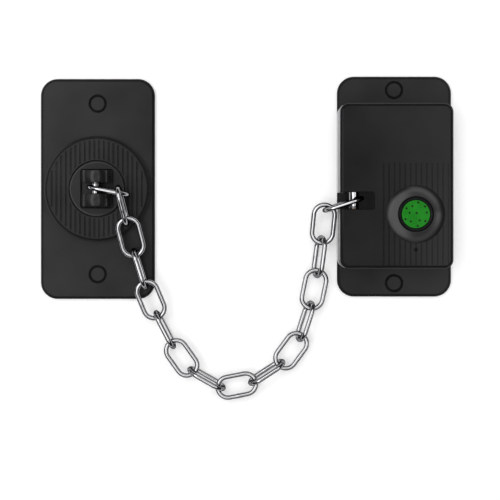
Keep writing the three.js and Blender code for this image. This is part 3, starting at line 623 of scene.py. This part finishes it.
frame_blank = stacked(rounded_levels(plate_width, frame_height, frame_corner, [
    (0, frame_bottom), *[(inset, frame_top - drop) for inset, drop in frame_bevel]]))
frame_hollow = block(inside_width, inside_height, inside_corner, frame_bottom - tool_overrun,
                     frame_top + tool_overrun)
bright_frame, tree = new_finish("Brushed bright metal")
stretched = add_node(tree, "ShaderNodeMapping", {"Vector": place_on(tree), "Scale": brush_scale}).outputs[0]
lines = add_node(tree, "ShaderNodeTexNoise", {"Vector": stretched, "Scale": 1.0, "Detail": 3.0}).outputs["Fac"]
clouds = grain_on(tree, grain_size=0.0005, blotch_size=0.012)["Blotch"]
worn = edge_wear_and_shade_on(tree, breakup_size=0.002, amount=0.5)
colour = two_tones(tree, lines, (0.52, 0.52, 0.53), (0.64, 0.64, 0.65))
finish_shader(tree, {
    "Base Color": mix_colours(tree, worn, colour, (0.88, 0.88, 0.88, 1)),
    "Roughness": two_levels(tree, clouds, 0.3, 0.44), "Metallic": 1.0,
    "Normal": relief(tree, lines, strength=0.5, depth=0.00001)})
frame_mesh = carve(frame_blank, [frame_hollow, notch_tool(frame_bottom, frame_top, frame_notch_flare)])
show("side_frame_bright", tidy_cut(frame_mesh, bright_frame), "lock", "satin_metal", "lock_side_frame")

# Front cover: a deep shell moulded in black plastic with rounded edges. Fine upright grooves run over its
# right half, a low cone rises round the sensor, and walls round the notch and four screw bosses hang inside.
cover_width = 53.0
cover_height = 77.6
cover_corner = 4.2
cover_top = 18.0
cover_ceiling = 15.6
cover_edge = 1.45
sensor_centre = (8.8, -13.3)
surround_radius = 13.65
surround_rim_radius = 8.6
surround_top = 19.0
sensor_hole_radius = 8.2
light_hole_radius = 0.65
light_centre = (8.8, -29.9)
groove_pitch = 2.52
groove_width = 0.6
groove_depth = 0.2
groove_count = 13
groove_upper_end = 10.6
groove_lower_end = -37.6
cover_notch_flare = 0.25
notch_wall_width = 15.2
notch_wall_height = 11.1
notch_wall_corner = 0.3
notch_wall_x = -16.6
boss_radius = 3.0
boss_hole_top = 10.3
guide_seat_radius = 3.35
rod_reach = 20
sensor_hole_flare = 0.1
light_hole_flare = 0.15
latch_x = -19.8
latch_z = 10.6
nearly_nothing = 0.000001

groove_tree, given, groove_sockets = geometry_tree("Grooves", [
    ("Count", "Int"), ("Pitch", "Float"), ("Width", "Float"), ("First X", "Float"), ("Low Y", "Float"),
    ("High Y", "Float"), ("Height", "Float"), ("Field Radius", "Float")])


def position_in(tree):
    here = add_node(tree, "GeometryNodeInputPosition")
    return add_node(tree, "ShaderNodeSeparateXYZ", {0: here.outputs[0]}).outputs


make = partial(add_node, groove_tree)
maths = partial(math_node, groove_tree)
step = make("ShaderNodeCombineXYZ", {"X": given["Pitch"]})
both_ends = maths("ADD", given["Low Y"], given["High Y"])
start = make("ShaderNodeCombineXYZ", {
    "X": given["First X"], "Y": maths("MULTIPLY", both_ends, 0.5), "Z": given["Height"]})
row = make("GeometryNodeMeshLine", {
    "Count": given["Count"], "Start Location": start.outputs[0], "Offset": step.outputs[0]})
gaps = maths("SUBTRACT", given["Count"], 1.0)
half_row = maths("MULTIPLY", given["Pitch"], maths("MULTIPLY", gaps, 0.5))
field_centre = maths("ADD", given["First X"], half_row)
off_centre = maths("SUBTRACT", position_in(groove_tree)["X"], field_centre)
off_squared = maths("POWER", maths("ABSOLUTE", off_centre), 2.0)
radius_squared = maths("POWER", given["Field Radius"], 2.0)
chord_squared = maths("SUBTRACT", radius_squared, off_squared)
half_chord = maths("SQRT", maths("MAXIMUM", chord_squared, nearly_nothing))
chord = maths("MULTIPLY", half_chord, 2.0)
straight = maths("SUBTRACT", given["High Y"], given["Low Y"])
round_field = maths("GREATER_THAN", given["Field Radius"], nearly_nothing)
reach = make("ShaderNodeMix", {0: round_field, 2: straight, 3: chord}, data_type="FLOAT")
rod = make("GeometryNodeMeshCylinder", {
    "Vertices": 6, "Radius": maths("MULTIPLY", given["Width"], 0.5), "Depth": 1.0})
laid = make("GeometryNodeTransform", {"Geometry": rod.outputs[0], "Rotation": (math.pi / 2, 0, 0)})
sizes = make("ShaderNodeCombineXYZ", {"X": 1.0, "Y": reach.outputs[0], "Z": 1.0})
rods = make("GeometryNodeInstanceOnPoints", {
    "Points": row.outputs[0], "Instance": laid.outputs[0], "Scale": sizes.outputs[0]})
close_tree(groove_tree, rods.outputs[0], given["Finish"])


def plain_rod(radius, bottom, top, sides, centre=(0, 0)):
    return turned([(0, bottom), (radius, bottom), (radius, top), (0, top)], None, sides, centre)


# Turns a mesh made upright so that its top points along +Y, or along -Y with outward at -1
def lay_along_y(mesh, x, y, z, outward=1):
    mesh.transform(Matrix.Translation((x * mm, y * mm, z * mm))
                   @ Matrix.Rotation(-outward * math.pi / 2, 4, "X"))


# A round hole from the cover's inside up to a given top, where it widens by a small flare
def flared_hole(radius, top, flare, sides, centre):
    bottom = cover_ceiling - tool_overrun
    return turned([(0, bottom), (radius, bottom), (radius, top - flare), (radius + flare, top),
                   (radius + flare, top + tool_overrun), (0, top + tool_overrun)], None, sides, centre)


# Its much darker edge tone is painted edge shade, a dark line along each edge, as well as the darker polish of
# rubbed edges
moulded_black = grained_finish("Moulded black plastic", (0.0095, 0.0095, 0.01), (0.004, 0.004, 0.0045), 0.15,
                               0.00035, 0.000002, tone_spread=0.08, gloss_spread=0.02, wear=0.95, specular=0.26)
cover_blank = stacked(rounded_levels(cover_width, cover_height, cover_corner, [
    (0, frame_top), *[(inset, cover_top - drop) for inset, drop in chamfer(cover_edge)]]))
cover_hollow = block(inside_width, inside_height, inside_corner, frame_top - tool_overrun, cover_ceiling)
grooves = run_tree(groove_tree, groove_sockets, {
    "Count": groove_count, "Pitch": groove_pitch * mm, "Width": groove_width * mm,
    "First X": (cover_width / 2 - groove_pitch * groove_count) * mm, "Low Y": groove_lower_end * mm,
    "High Y": groove_upper_end * mm, "Height": (cover_top + groove_width / 2 - groove_depth) * mm,
    "Field Radius": 0.0, "Finish": moulded_black})
cone = turned([
    (0, cover_ceiling), (surround_radius, cover_ceiling),
    *shoulder(surround_radius, cover_top, [(0, 0.02), (0.08, -0.03)]),
    *shoulder(surround_rim_radius, surround_top, [(-0.25, 0.04), (0, 0)]), (0, surround_top)],
    None, 128, sensor_centre)
notch_walls = block(notch_wall_width, notch_wall_height, notch_wall_corner, frame_bottom,
                    cover_ceiling + tool_overrun, (notch_wall_x, notch_centre_y))
boss = plain_rod(boss_radius, frame_bottom, cover_ceiling + tool_overrun, 32)
boss_mesh = repeated(boss, cover_screw_places, moulded_black)
boss_hole = plain_rod(back_screw_hole_radius, frame_bottom - tool_overrun, boss_hole_top, 32)
boss_holes = repeated(boss_hole, cover_screw_places, moulded_black)
guide_seat = plain_rod(guide_seat_radius, -rod_reach, rod_reach, 48)
lay_along_y(guide_seat, latch_x, notch_centre_y, latch_z)
sensor_hole = flared_hole(sensor_hole_radius, surround_top, sensor_hole_flare, 96, sensor_centre)
light_hole = flared_hole(light_hole_radius, cover_top, light_hole_flare, 32, light_centre)
shell = carve(cover_blank, [cover_hollow, grooves])
shell = carve(shell, [cone, notch_walls, boss_mesh], "UNION")
notch = notch_tool(frame_bottom - tool_overrun, cover_top, cover_notch_flare)
shell = carve(shell, [boss_holes, notch, guide_seat, sensor_hole, light_hole])
show("front_cover_moulded", tidy_cut(shell, moulded_black), "lock", "black_plastic", "lock_front_cover")

# Fingerprint sensor: a glossy black ring in the cone's hole, and in it a green lens lit from behind with a
# few dark specks under its face. A clear rod under it carries the status light to the pinhole.
bezel_outer = 8.0
bezel_inner = 6.75
bezel_bottom = 15.6
bezel_top = 19.0
window_radius = 6.55
window_bottom = 17.5
window_top = 18.7
window_crown_drop = 0.005
speck_radius = 0.5
speck_spacing = 2.5
speck_field_inset = 0.6
speck_sink = 0.02
speck_depth = 0.00012
gloss_black = grained_finish("Gloss black plastic", (0.004, 0.004, 0.0045), (0.01, 0.01, 0.01), 0.16, 0.0008,
                             0.000001, tone_spread=0.1, gloss_spread=0.04, wear=0.2, blotch_size=0.008,
                             specular=0.15)
bezel_profile = [(bezel_inner, bezel_bottom), (bezel_outer, bezel_bottom),
                 *shoulder(bezel_outer, bezel_top, [(0, 0.3), (0.09, 0.09), (0.3, 0)]),
                 *shoulder(bezel_inner, bezel_top, [(-0.35, 0), (-0.1, 0.1), (0, 0.35)]),
                 (bezel_inner, bezel_bottom)]
show("sensor_ring", turned(bezel_profile, gloss_black, 96, sensor_centre), "lock", "black_gloss",
     "sensor_bezel")

lit_green, tree = new_finish("Lit green lens")
clouds = grain_on(tree, grain_size=0.0003, blotch_size=0.004)
finish_shader(tree, {
    "Base Color": two_tones(tree, clouds["Blotch"], (0.006, 0.12, 0.006), (0.008, 0.15, 0.008)),
    "Roughness": two_levels(tree, clouds["Blotch"], 0.14, 0.22),
    "Emission Color": two_tones(tree, clouds["Blotch"], (0.006, 0.13, 0.006), (0.008, 0.16, 0.008)),
    "Emission Strength": 0.45, "Normal": relief(tree, clouds["Height"], strength=0.4, depth=0.000002),
    "Specular IOR Level": 0.1})
window_profile = [(0, window_bottom), (window_radius, window_bottom),
                  *shoulder(window_radius, window_top, [(0, 0.25), (0.08, 0.08), (0.3, 0.02)]),
                  (window_radius * 0.6, window_top - window_crown_drop), (0, window_top)]
show("sensor_lens", turned(window_profile, lit_green, 96, sensor_centre), "lock", "green_glass",
     "sensor_window")
speck_tree, given, speck_sockets = geometry_tree("Specks", [
    ("Field Radius", "Float"), ("Spacing", "Float"), ("Speck Radius", "Float"), ("Seed", "Int")])
make = partial(add_node, speck_tree)
field = make("GeometryNodeMeshCircle", {"Vertices": 48, "Radius": given["Field Radius"]}, fill_type="NGON")
scatter = make("GeometryNodeDistributePointsOnFaces", {
    "Mesh": field.outputs[0], "Distance Min": given["Spacing"], "Density Max": 400000.0,
    "Seed": given["Seed"]}, distribute_method="POISSON")
speck = make("GeometryNodeMeshCylinder", {
    "Vertices": 14, "Radius": given["Speck Radius"], "Depth": speck_depth})
specks = make("GeometryNodeInstanceOnPoints", {"Points": scatter.outputs[0], "Instance": speck.outputs[0]})
close_tree(speck_tree, specks.outputs[0], given["Finish"])
speck_mesh = run_tree(speck_tree, speck_sockets, {
    "Field Radius": (window_radius - speck_field_inset) * mm, "Spacing": speck_spacing * mm,
    "Speck Radius": speck_radius * mm, "Seed": 4, "Finish": gloss_black})
speck_mesh.transform(Matrix.Translation([c * mm for c in (*sensor_centre, window_top - speck_sink)]))
show("sensor_specks", speck_mesh, "lock", "black_gloss")

clear_rod, tree = new_finish("Clear rod")
clouds = grain_on(tree, grain_size=0.0002, blotch_size=0.002)
colour = two_tones(tree, clouds["Blotch"], (0.003, 0.0035, 0.004), (0.006, 0.0065, 0.007))
finish_shader(tree, {"Base Color": colour, "Roughness": 0.12, "Specular IOR Level": 0.1,
                     "Normal": relief(tree, clouds["Height"], strength=0.3, depth=0.000002)})


def paint_node(node, material):
    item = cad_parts[node]
    item.data.materials.clear()
    item.data.materials.append(material)


paint_node("status_light_guide", clear_rod)
paint_node("sensor_module", gloss_black)

# Electronics behind the sensor: a green circuit board with two black chips, a foil-wrapped battery under it
# and a flat copper charging coil against the cover's inner face.
board_face_z = 0.01165
coil_wire_pitch = 0.0004
board_green, tree = new_finish("Green circuit board")
place = place_on(tree)
squares = add_node(tree, "ShaderNodeTexBrick", {
    "Vector": place, "Scale": 260.0, "Mortar Size": 0.012, "Color1": (0.012, 0.11, 0.035, 1),
    "Color2": (0.014, 0.13, 0.04, 1), "Mortar": (0.03, 0.2, 0.08, 1)}).outputs
height = add_node(tree, "ShaderNodeSeparateXYZ", {0: place}).outputs["Z"]
chip = math_node(tree, "GREATER_THAN", height, board_face_z)
clouds = grain_on(tree, grain_size=0.0004, blotch_size=0.006)
finish_shader(tree, {"Base Color": mix_colours(tree, chip, squares["Color"], (0.012, 0.012, 0.013, 1)),
                     "Roughness": two_levels(tree, clouds["Blotch"], 0.32, 0.5),
                     "Normal": relief(tree, squares["Fac"], strength=0.5, depth=0.00003)})
paint_node("circuit_board", board_green)
foil = grained_finish("Battery foil", (0.62, 0.64, 0.66), (0.75, 0.75, 0.76), 0.34, 0.0025, 0.00012,
                      metallic=0.9, wear=0.4)
paint_node("battery_cell", foil)

coil_wire, tree = new_finish("Wound copper")
coil_low, coil_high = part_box("charging_coil")
coil_centre = (coil_low + coil_high) / 2
centred = add_node(tree, "ShaderNodeMapping", {"Vector": place_on(tree), "Location": -coil_centre}).outputs[0]
flat = add_node(tree, "ShaderNodeVectorMath", {0: centred, 1: (1, 1, 0)}, operation="MULTIPLY").outputs[0]
distance = add_node(tree, "ShaderNodeVectorMath", {0: flat}, operation="LENGTH").outputs["Value"]
turns = math_node(tree, "PINGPONG", math_node(tree, "DIVIDE", distance, coil_wire_pitch), 0.5)
clouds = grain_on(tree, grain_size=0.0006, blotch_size=0.004)
finish_shader(tree, {
    "Base Color": ramp_node(tree, turns, [(0.05, (0.12, 0.03, 0.012)), (0.3, (0.55, 0.2, 0.09))]),
    "Roughness": map_node(tree, clouds["Blotch"], 0.0, 1.0, 0.25, 0.45), "Metallic": 1.0,
    "Normal": relief(tree, turns, strength=1.0, depth=0.0001)})
paint_node("charging_coil", coil_wire)

# Latch: a polished round pin that stands across the notch, with a rack behind it. Two sintered bronze sleeves
# in the notch walls guide it, and a pinion of the same bronze on the gearmotor's shaft draws it up.
latch_low, latch_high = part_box("latch_pin")
pin_radius = 2.3
pin_bottom = latch_low.y / mm
pin_top = 2.4
pin_tip = [(0.75, 0), (0.6, 0.04), (0.1, 0.45), (0, 0.7)]
latch_travel = 10.5
gear_module = 0.6
tooth_pitch = math.pi * gear_module
tooth_foot = 0.78
tooth_play = 0.06
tooth_sink = 0.3
pressure_angle = 20
rack_width = 3.4
rack_overlap = 1.8
rack_bevel = 0.15
arm_inset = 0.05
spare_pitches = 1.25
rack_end = latch_high.y / mm
rack_back_low = latch_low.z / mm
pinion_radius = 2.4
pinion_low, pinion_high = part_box("latch_pinion")
pinion_y, pinion_z = ((pinion_low + pinion_high) / 2 / mm).yz
rack_pitch_z = pinion_z - pinion_radius
rack_root_z = rack_pitch_z - tooth_foot
rack_tip_z = rack_pitch_z + gear_module


def polished(name, tone, gloss, smudge, edge_tone, grazing_tone):
    material, tree = new_finish(name)
    clouds = grain_on(tree, grain_size=0.0012, blotch_size=0.007)
    worn = edge_wear_and_shade_on(tree, breakup_size=0.002, amount=0.35)
    colour = two_tones(tree, clouds["Blotch"], tuple(c * 0.97 for c in tone), tone)
    finish_shader(tree, {
        "Base Color": mix_colours(tree, worn, colour, (*edge_tone, 1)), "Metallic": 1.0,
        "Roughness": map_node(tree, clouds["Blotch"], 0.35, 0.7, gloss, gloss + smudge),
        "Normal": relief(tree, clouds["Height"], strength=0.4, depth=0.000004),
        "Specular Tint": (grazing_tone, grazing_tone, grazing_tone, 1)})
    return material


chrome = polished("Bright chrome", (0.38, 0.38, 0.39), 0.01, 0.02, (0.34, 0.34, 0.35), 0.0)
bronze = polished("Sintered bronze", (0.3, 0.19, 0.09), 0.36, 0.14, (0.42, 0.3, 0.16), 0.6)


def bevelled_box(bm, low, high, bevel):
    made = bmesh.ops.create_cube(bm, size=1.0, matrix=Matrix.Translation((Vector(low) + Vector(high)) / 2)
                                 @ Matrix.Diagonal((*(Vector(high) - Vector(low)), 1)))
    edges = {edge for vert in made["verts"] for edge in vert.link_edges}
    bmesh.ops.bevel(bm, geom=list(edges), offset=bevel, segments=2, profile=0.5, affect="EDGES")


round_pin = turned([
    (0, pin_bottom), *[(pin_radius - inset, pin_bottom + rise) for inset, rise in pin_tip],
    (pin_radius, pin_top), (0, pin_top)], None, 96)
lay_along_y(round_pin, latch_x, 0, latch_z)
arms = []
for low_z, high_y, high_z in ((rack_back_low + arm_inset, pin_top, latch_z),
                              (rack_back_low, rack_end, rack_root_z)):
    bm = bmesh.new()
    bevelled_box(bm, (latch_x - rack_width / 2, pin_top - rack_overlap, low_z),
                 (latch_x + rack_width / 2, high_y, high_z), rack_bevel)
    arms.append(finish_mesh(bm))
bm = bmesh.new()
lean = math.tan(math.radians(pressure_angle))
half_tooth = tooth_pitch / 4 - tooth_play
foot = half_tooth + tooth_foot * lean
tip = half_tooth - gear_module * lean
section = [(-foot, rack_root_z - tooth_sink), (foot, rack_root_z - tooth_sink), (foot, rack_root_z),
           (tip, rack_tip_z), (-tip, rack_tip_z), (-foot, rack_root_z)]
ends = [[bm.verts.new((latch_x + side * rack_width / 2, y, z)) for y, z in section] for side in (-1, 1)]
bridge(bm, ends[0], ends[1])
for end in ends:
    bm.faces.new(end)
tooth_mesh = finish_mesh(bm)
tooth_places = []
tooth_y = pinion_y + tooth_pitch / 2
while tooth_y > pinion_y - latch_travel - spare_pitches * tooth_pitch:
    tooth_places.append((0, tooth_y))
    tooth_y -= tooth_pitch
rack_teeth = repeated(tooth_mesh, tooth_places, chrome)
pin_mesh = carve(round_pin, [*arms, rack_teeth], "UNION")
show("latch_pin_polished", tidy_cut(pin_mesh, chrome), "latch", "chrome", "latch_pin")

sleeve_bore = 2.45
sleeve_radius = 3.2
sleeve_flange = 4.1
sleeve_neck = 1.6
sleeve_length = 2.8
sleeve_lead_in = 0.1
sleeve_profile = [(sleeve_bore, sleeve_lead_in), (sleeve_bore + sleeve_lead_in, 0), (sleeve_radius, 0),
                  (sleeve_radius, sleeve_neck), (sleeve_flange, sleeve_neck),
                  *shoulder(sleeve_flange, sleeve_length, [(0, 0.15), (0.15, 0)]),
                  (sleeve_bore, sleeve_length), (sleeve_bore, sleeve_lead_in)]
for word, outward in (("upper", 1), ("lower", -1)):
    mesh = turned(sleeve_profile, bronze, 64)
    lay_along_y(mesh, latch_x, notch_centre_y + outward * notch_height / 2, latch_z, outward)
    show(f"guide_sleeve_{word}", mesh, "lock", "brass", f"latch_guide_{word}")
paint_node("latch_pinion", bronze)
paint_node("gearmotor", zinc)
paint_node("motor_bracket", zinc)

# Chain: sixteen oval rings of round wire, chromium plated, each bent and welded shut through its
# neighbour. They hang from the clevis, lie over the rosette and the table and rise to the latch pin.
link_length = 20.6
link_width = 12.1
wire_diameter = 2.25
weld_rise = 0.05
weld_reach = 1.3
nearly_half = 0.4999

link_tree, given, link_sockets = geometry_tree("Oval link", [
    ("Length", "Float"), ("Width", "Float"), ("Wire", "Float"), ("Weld Rise", "Float"), ("Weld Reach", "Float"),
    ("Rings", "Int"), ("Sides", "Int")])
make = partial(add_node, link_tree)
maths = partial(math_node, link_tree)
line_length = maths("SUBTRACT", given["Length"], given["Wire"])
line_width = maths("SUBTRACT", given["Width"], given["Wire"])
oblong = make("GeometryNodeCurvePrimitiveQuadrilateral", {"Width": line_length, "Height": line_width})
end_radius = maths("MULTIPLY", line_width, nearly_half)
oval = make("GeometryNodeFilletCurve", {
    "Curve": oblong.outputs[0], "Count": 40, "Radius": end_radius}, mode="POLY")
even = make("GeometryNodeResampleCurve", {"Curve": oval.outputs[0], "Count": given["Rings"]})
spot = position_in(link_tree)
share = maths("DIVIDE", spot["X"], given["Weld Reach"])
share_squared = maths("MULTIPLY", share, share)
bell = maths("EXPONENT", maths("MULTIPLY", share_squared, -1.0))
one_leg = maths("LESS_THAN", spot["Y"], 0.0)
weld = maths("MULTIPLY", maths("MULTIPLY", bell, one_leg), given["Weld Rise"])
wire = make("GeometryNodeCurvePrimitiveCircle", {
    "Resolution": given["Sides"], "Radius": maths("MULTIPLY", given["Wire"], 0.5)})
swept = make("GeometryNodeCurveToMesh", {
    "Curve": even.outputs[0], "Profile Curve": wire.outputs[0], "Scale": maths("ADD", weld, 1.0)})
smooth = make("GeometryNodeSetShadeSmooth", {"Geometry": swept.outputs[0]})
close_tree(link_tree, smooth.outputs[0], given["Finish"])


# A ring's own axes come from how its solid spreads: most along its length, least through its wire
def axes_of(node):
    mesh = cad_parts[node].data
    points = np.array([v.co for v in mesh.vertices], float).reshape(-1, 3)
    corners = np.unique(np.round(points, 8), axis=0)
    middle = corners.mean(0)
    axes = np.linalg.eigh(np.cov((corners - middle).T))[1]
    length, width = Vector(axes[:, 2]), Vector(axes[:, 1])
    if length.x < 0:
        length = -length
    through = length.cross(width)
    return Matrix.Translation(Vector(middle)) @ Matrix((length, width, through)).transposed().to_4x4()


for number in range(1, 17):
    mesh = run_tree(link_tree, link_sockets, {
        "Length": link_length * mm, "Width": link_width * mm, "Wire": wire_diameter * mm,
        "Weld Rise": weld_rise, "Weld Reach": weld_reach * mm, "Rings": 132, "Sides": 30, "Finish": chrome})
    mesh.transform(axes_of(f"chain_link_{number:02d}"))
    show(f"oval_link_{number:02d}", mesh, f"link_{number:02d}", "chrome", f"chain_link_{number:02d}")

# Rosette: a turned steel ring, powder coated black, with fine upright grooves over its face between a plain
# rim and a plain band round the bore. Its lip holds the swivel down, and four back screws hold it.
rosette_radius = 25.1
rosette_top = 7.5
rosette_edge = 1.35
rosette_bore = 13.4
rosette_hole_bottom = 2.0
rosette_hole_top = 4.9
flange_bore = 16.4
lip_bottom = 5.6
rosette_groove_pitch = 2.25
rosette_groove_width = 0.7
rosette_groove_count = 20
groove_field_radius = 23.0
plain_middle_radius = 14.2
rosette_profile = [(rosette_bore, lip_bottom), (flange_bore, lip_bottom), (flange_bore, plate_thickness),
                   (rosette_radius, plate_thickness),
                   *shoulder(rosette_radius, rosette_top, chamfer(rosette_edge)),
                   *shoulder(rosette_bore, rosette_top, [(-0.2, 0), (-0.05, 0.06), (0, 0.25)]),
                   (rosette_bore, lip_bottom)]
rosette_blank = turned(rosette_profile, None, 192, anchor_centre)
rosette_grooves = run_tree(groove_tree, groove_sockets, {
    "Count": rosette_groove_count, "Pitch": rosette_groove_pitch * mm, "Width": rosette_groove_width * mm,
    "First X": (anchor_x - (rosette_groove_count - 1) / 2 * rosette_groove_pitch) * mm,
    "Low Y": (anchor_y - 1) * mm, "High Y": (anchor_y + 1) * mm, "Height": rosette_top * mm,
    "Field Radius": groove_field_radius * mm, "Finish": powder_coat})
plain_middle = plain_rod(plain_middle_radius, rosette_top - 2, rosette_top + 2, 128, anchor_centre)
rosette_grooves = carve(rosette_grooves, [plain_middle])
rosette_hole = plain_rod(back_screw_hole_radius, rosette_hole_bottom, rosette_hole_top, 32)
rosette_holes = repeated(rosette_hole, rosette_screw_places, powder_coat)
rosette_mesh = carve(rosette_blank, [rosette_grooves, rosette_holes])
show("rosette_coated", tidy_cut(rosette_mesh, powder_coat), "anchor", "black_metal", "anchor_rosette")

# Swivel: a coated steel disc that turns in the rosette on a nylon washer. Two thick round-topped ears stand
# in its sunk pocket and carry the polished clevis pin for the first link.
rotor_radius = 13.0
rotor_top = 7.8
rotor_rounding = [(0, 0.35), (0.1, 0.15), (0.6, 0.02), (0.7, 0)]
rotor_bottom = 4.0
flange_radius = 16.0
flange_top = 5.3
washer_bore = 8.0
washer_radius = 16.0
washer_top = 3.7
pocket_width = 15.2
pocket_height = 18.2
pocket_floor = 5.4
pocket_corner = 1.0
pocket_base = [(0.3, 0), (0.08, 0.08), (0, 0.35)]
pocket_mouth = [(0, -0.25), (-0.08, -0.08), (-0.25, 0), (-0.25, tool_overrun)]
ear_radius = 6.5
ear_thickness = 5.9
ear_gap = 5.2
ear_edge = 0.35
ear_steps = 48
ear_sink = 0.5
clevis_height = 14.4
clevis_radius = 1.6
clevis_bore_radius = 1.75
clevis_reach = 8.1
clevis_end = [(0.5, 0), (0.15, 0.12), (0, 0.45)]
nylon = grained_finish("Natural nylon", (0.72, 0.69, 0.6), (0.8, 0.78, 0.7), 0.5, 0.0006, 0.000006, wear=0.3)
washer_profile = [(washer_bore, plate_thickness), (washer_radius, plate_thickness),
                  *shoulder(washer_radius, washer_top, [(0, 0.1), (0.1, 0)]),
                  *shoulder(washer_bore, washer_top, [(-0.1, 0), (0, 0.1)]), (washer_bore, plate_thickness)]
show("swivel_washer_nylon", turned(washer_profile, nylon, 96, anchor_centre), "anchor", "nylon",
     "swivel_washer")

rotor_blank = turned([
    (0, rotor_bottom), (flange_radius, rotor_bottom), (flange_radius, flange_top), (rotor_radius, flange_top),
    *shoulder(rotor_radius, rotor_top, rotor_rounding), (0, rotor_top)], None, 160, anchor_centre)
pocket_pairs = [(inset, pocket_floor + rise) for inset, rise in pocket_base]
pocket_pairs += [(inset, rotor_top + rise) for inset, rise in pocket_mouth]
pocket_tool = stacked(rounded_levels(pocket_width, pocket_height, pocket_corner, pocket_pairs,
                                     anchor_centre, 8))


def ear_mesh(start):
    bm = bmesh.new()
    levels = soft_foot(ear_edge)
    levels += [(inset, ear_thickness - rise) for inset, rise in levels[::-1]]
    loops = []
    for inset, depth in levels:
        radius = ear_radius - inset
        points = [(-radius, pocket_floor - ear_sink), (radius, pocket_floor - ear_sink)]
        for n in range(ear_steps + 1):
            angle = math.pi * n / ear_steps
            points.append((radius * math.cos(angle), clevis_height + radius * math.sin(angle)))
        loops.append([bm.verts.new((anchor_x + x, anchor_y + start + depth, z)) for x, z in points])
    for first, second in zip(loops, loops[1:]):
        bridge(bm, first, second)
    fill_between(bm, [loops[0]])
    fill_between(bm, [loops[-1]])
    return finish_mesh(bm)


pin_bore = plain_rod(clevis_bore_radius, -rod_reach, rod_reach, 48)
lay_along_y(pin_bore, anchor_x, anchor_y, clevis_height)
rotor_mesh = carve(rotor_blank, [pocket_tool])
rotor_mesh = carve(rotor_mesh, [ear_mesh(ear_gap / 2), ear_mesh(-ear_gap / 2 - ear_thickness)], "UNION")
rotor_mesh = carve(rotor_mesh, [pin_bore])
show("swivel_rotor_coated", tidy_cut(rotor_mesh, powder_coat), "swivel", "black_metal", "swivel_rotor")

clevis_profile = [(0, -clevis_reach),
                  *[(clevis_radius - inset, rise - clevis_reach) for inset, rise in clevis_end],
                  *shoulder(clevis_radius, clevis_reach, clevis_end[::-1]), (0, clevis_reach)]
clevis_mesh = turned(clevis_profile, chrome)
lay_along_y(clevis_mesh, anchor_x, anchor_y, clevis_height)
show("clevis_pin_polished", clevis_mesh, "swivel", "chrome", "clevis_pin")
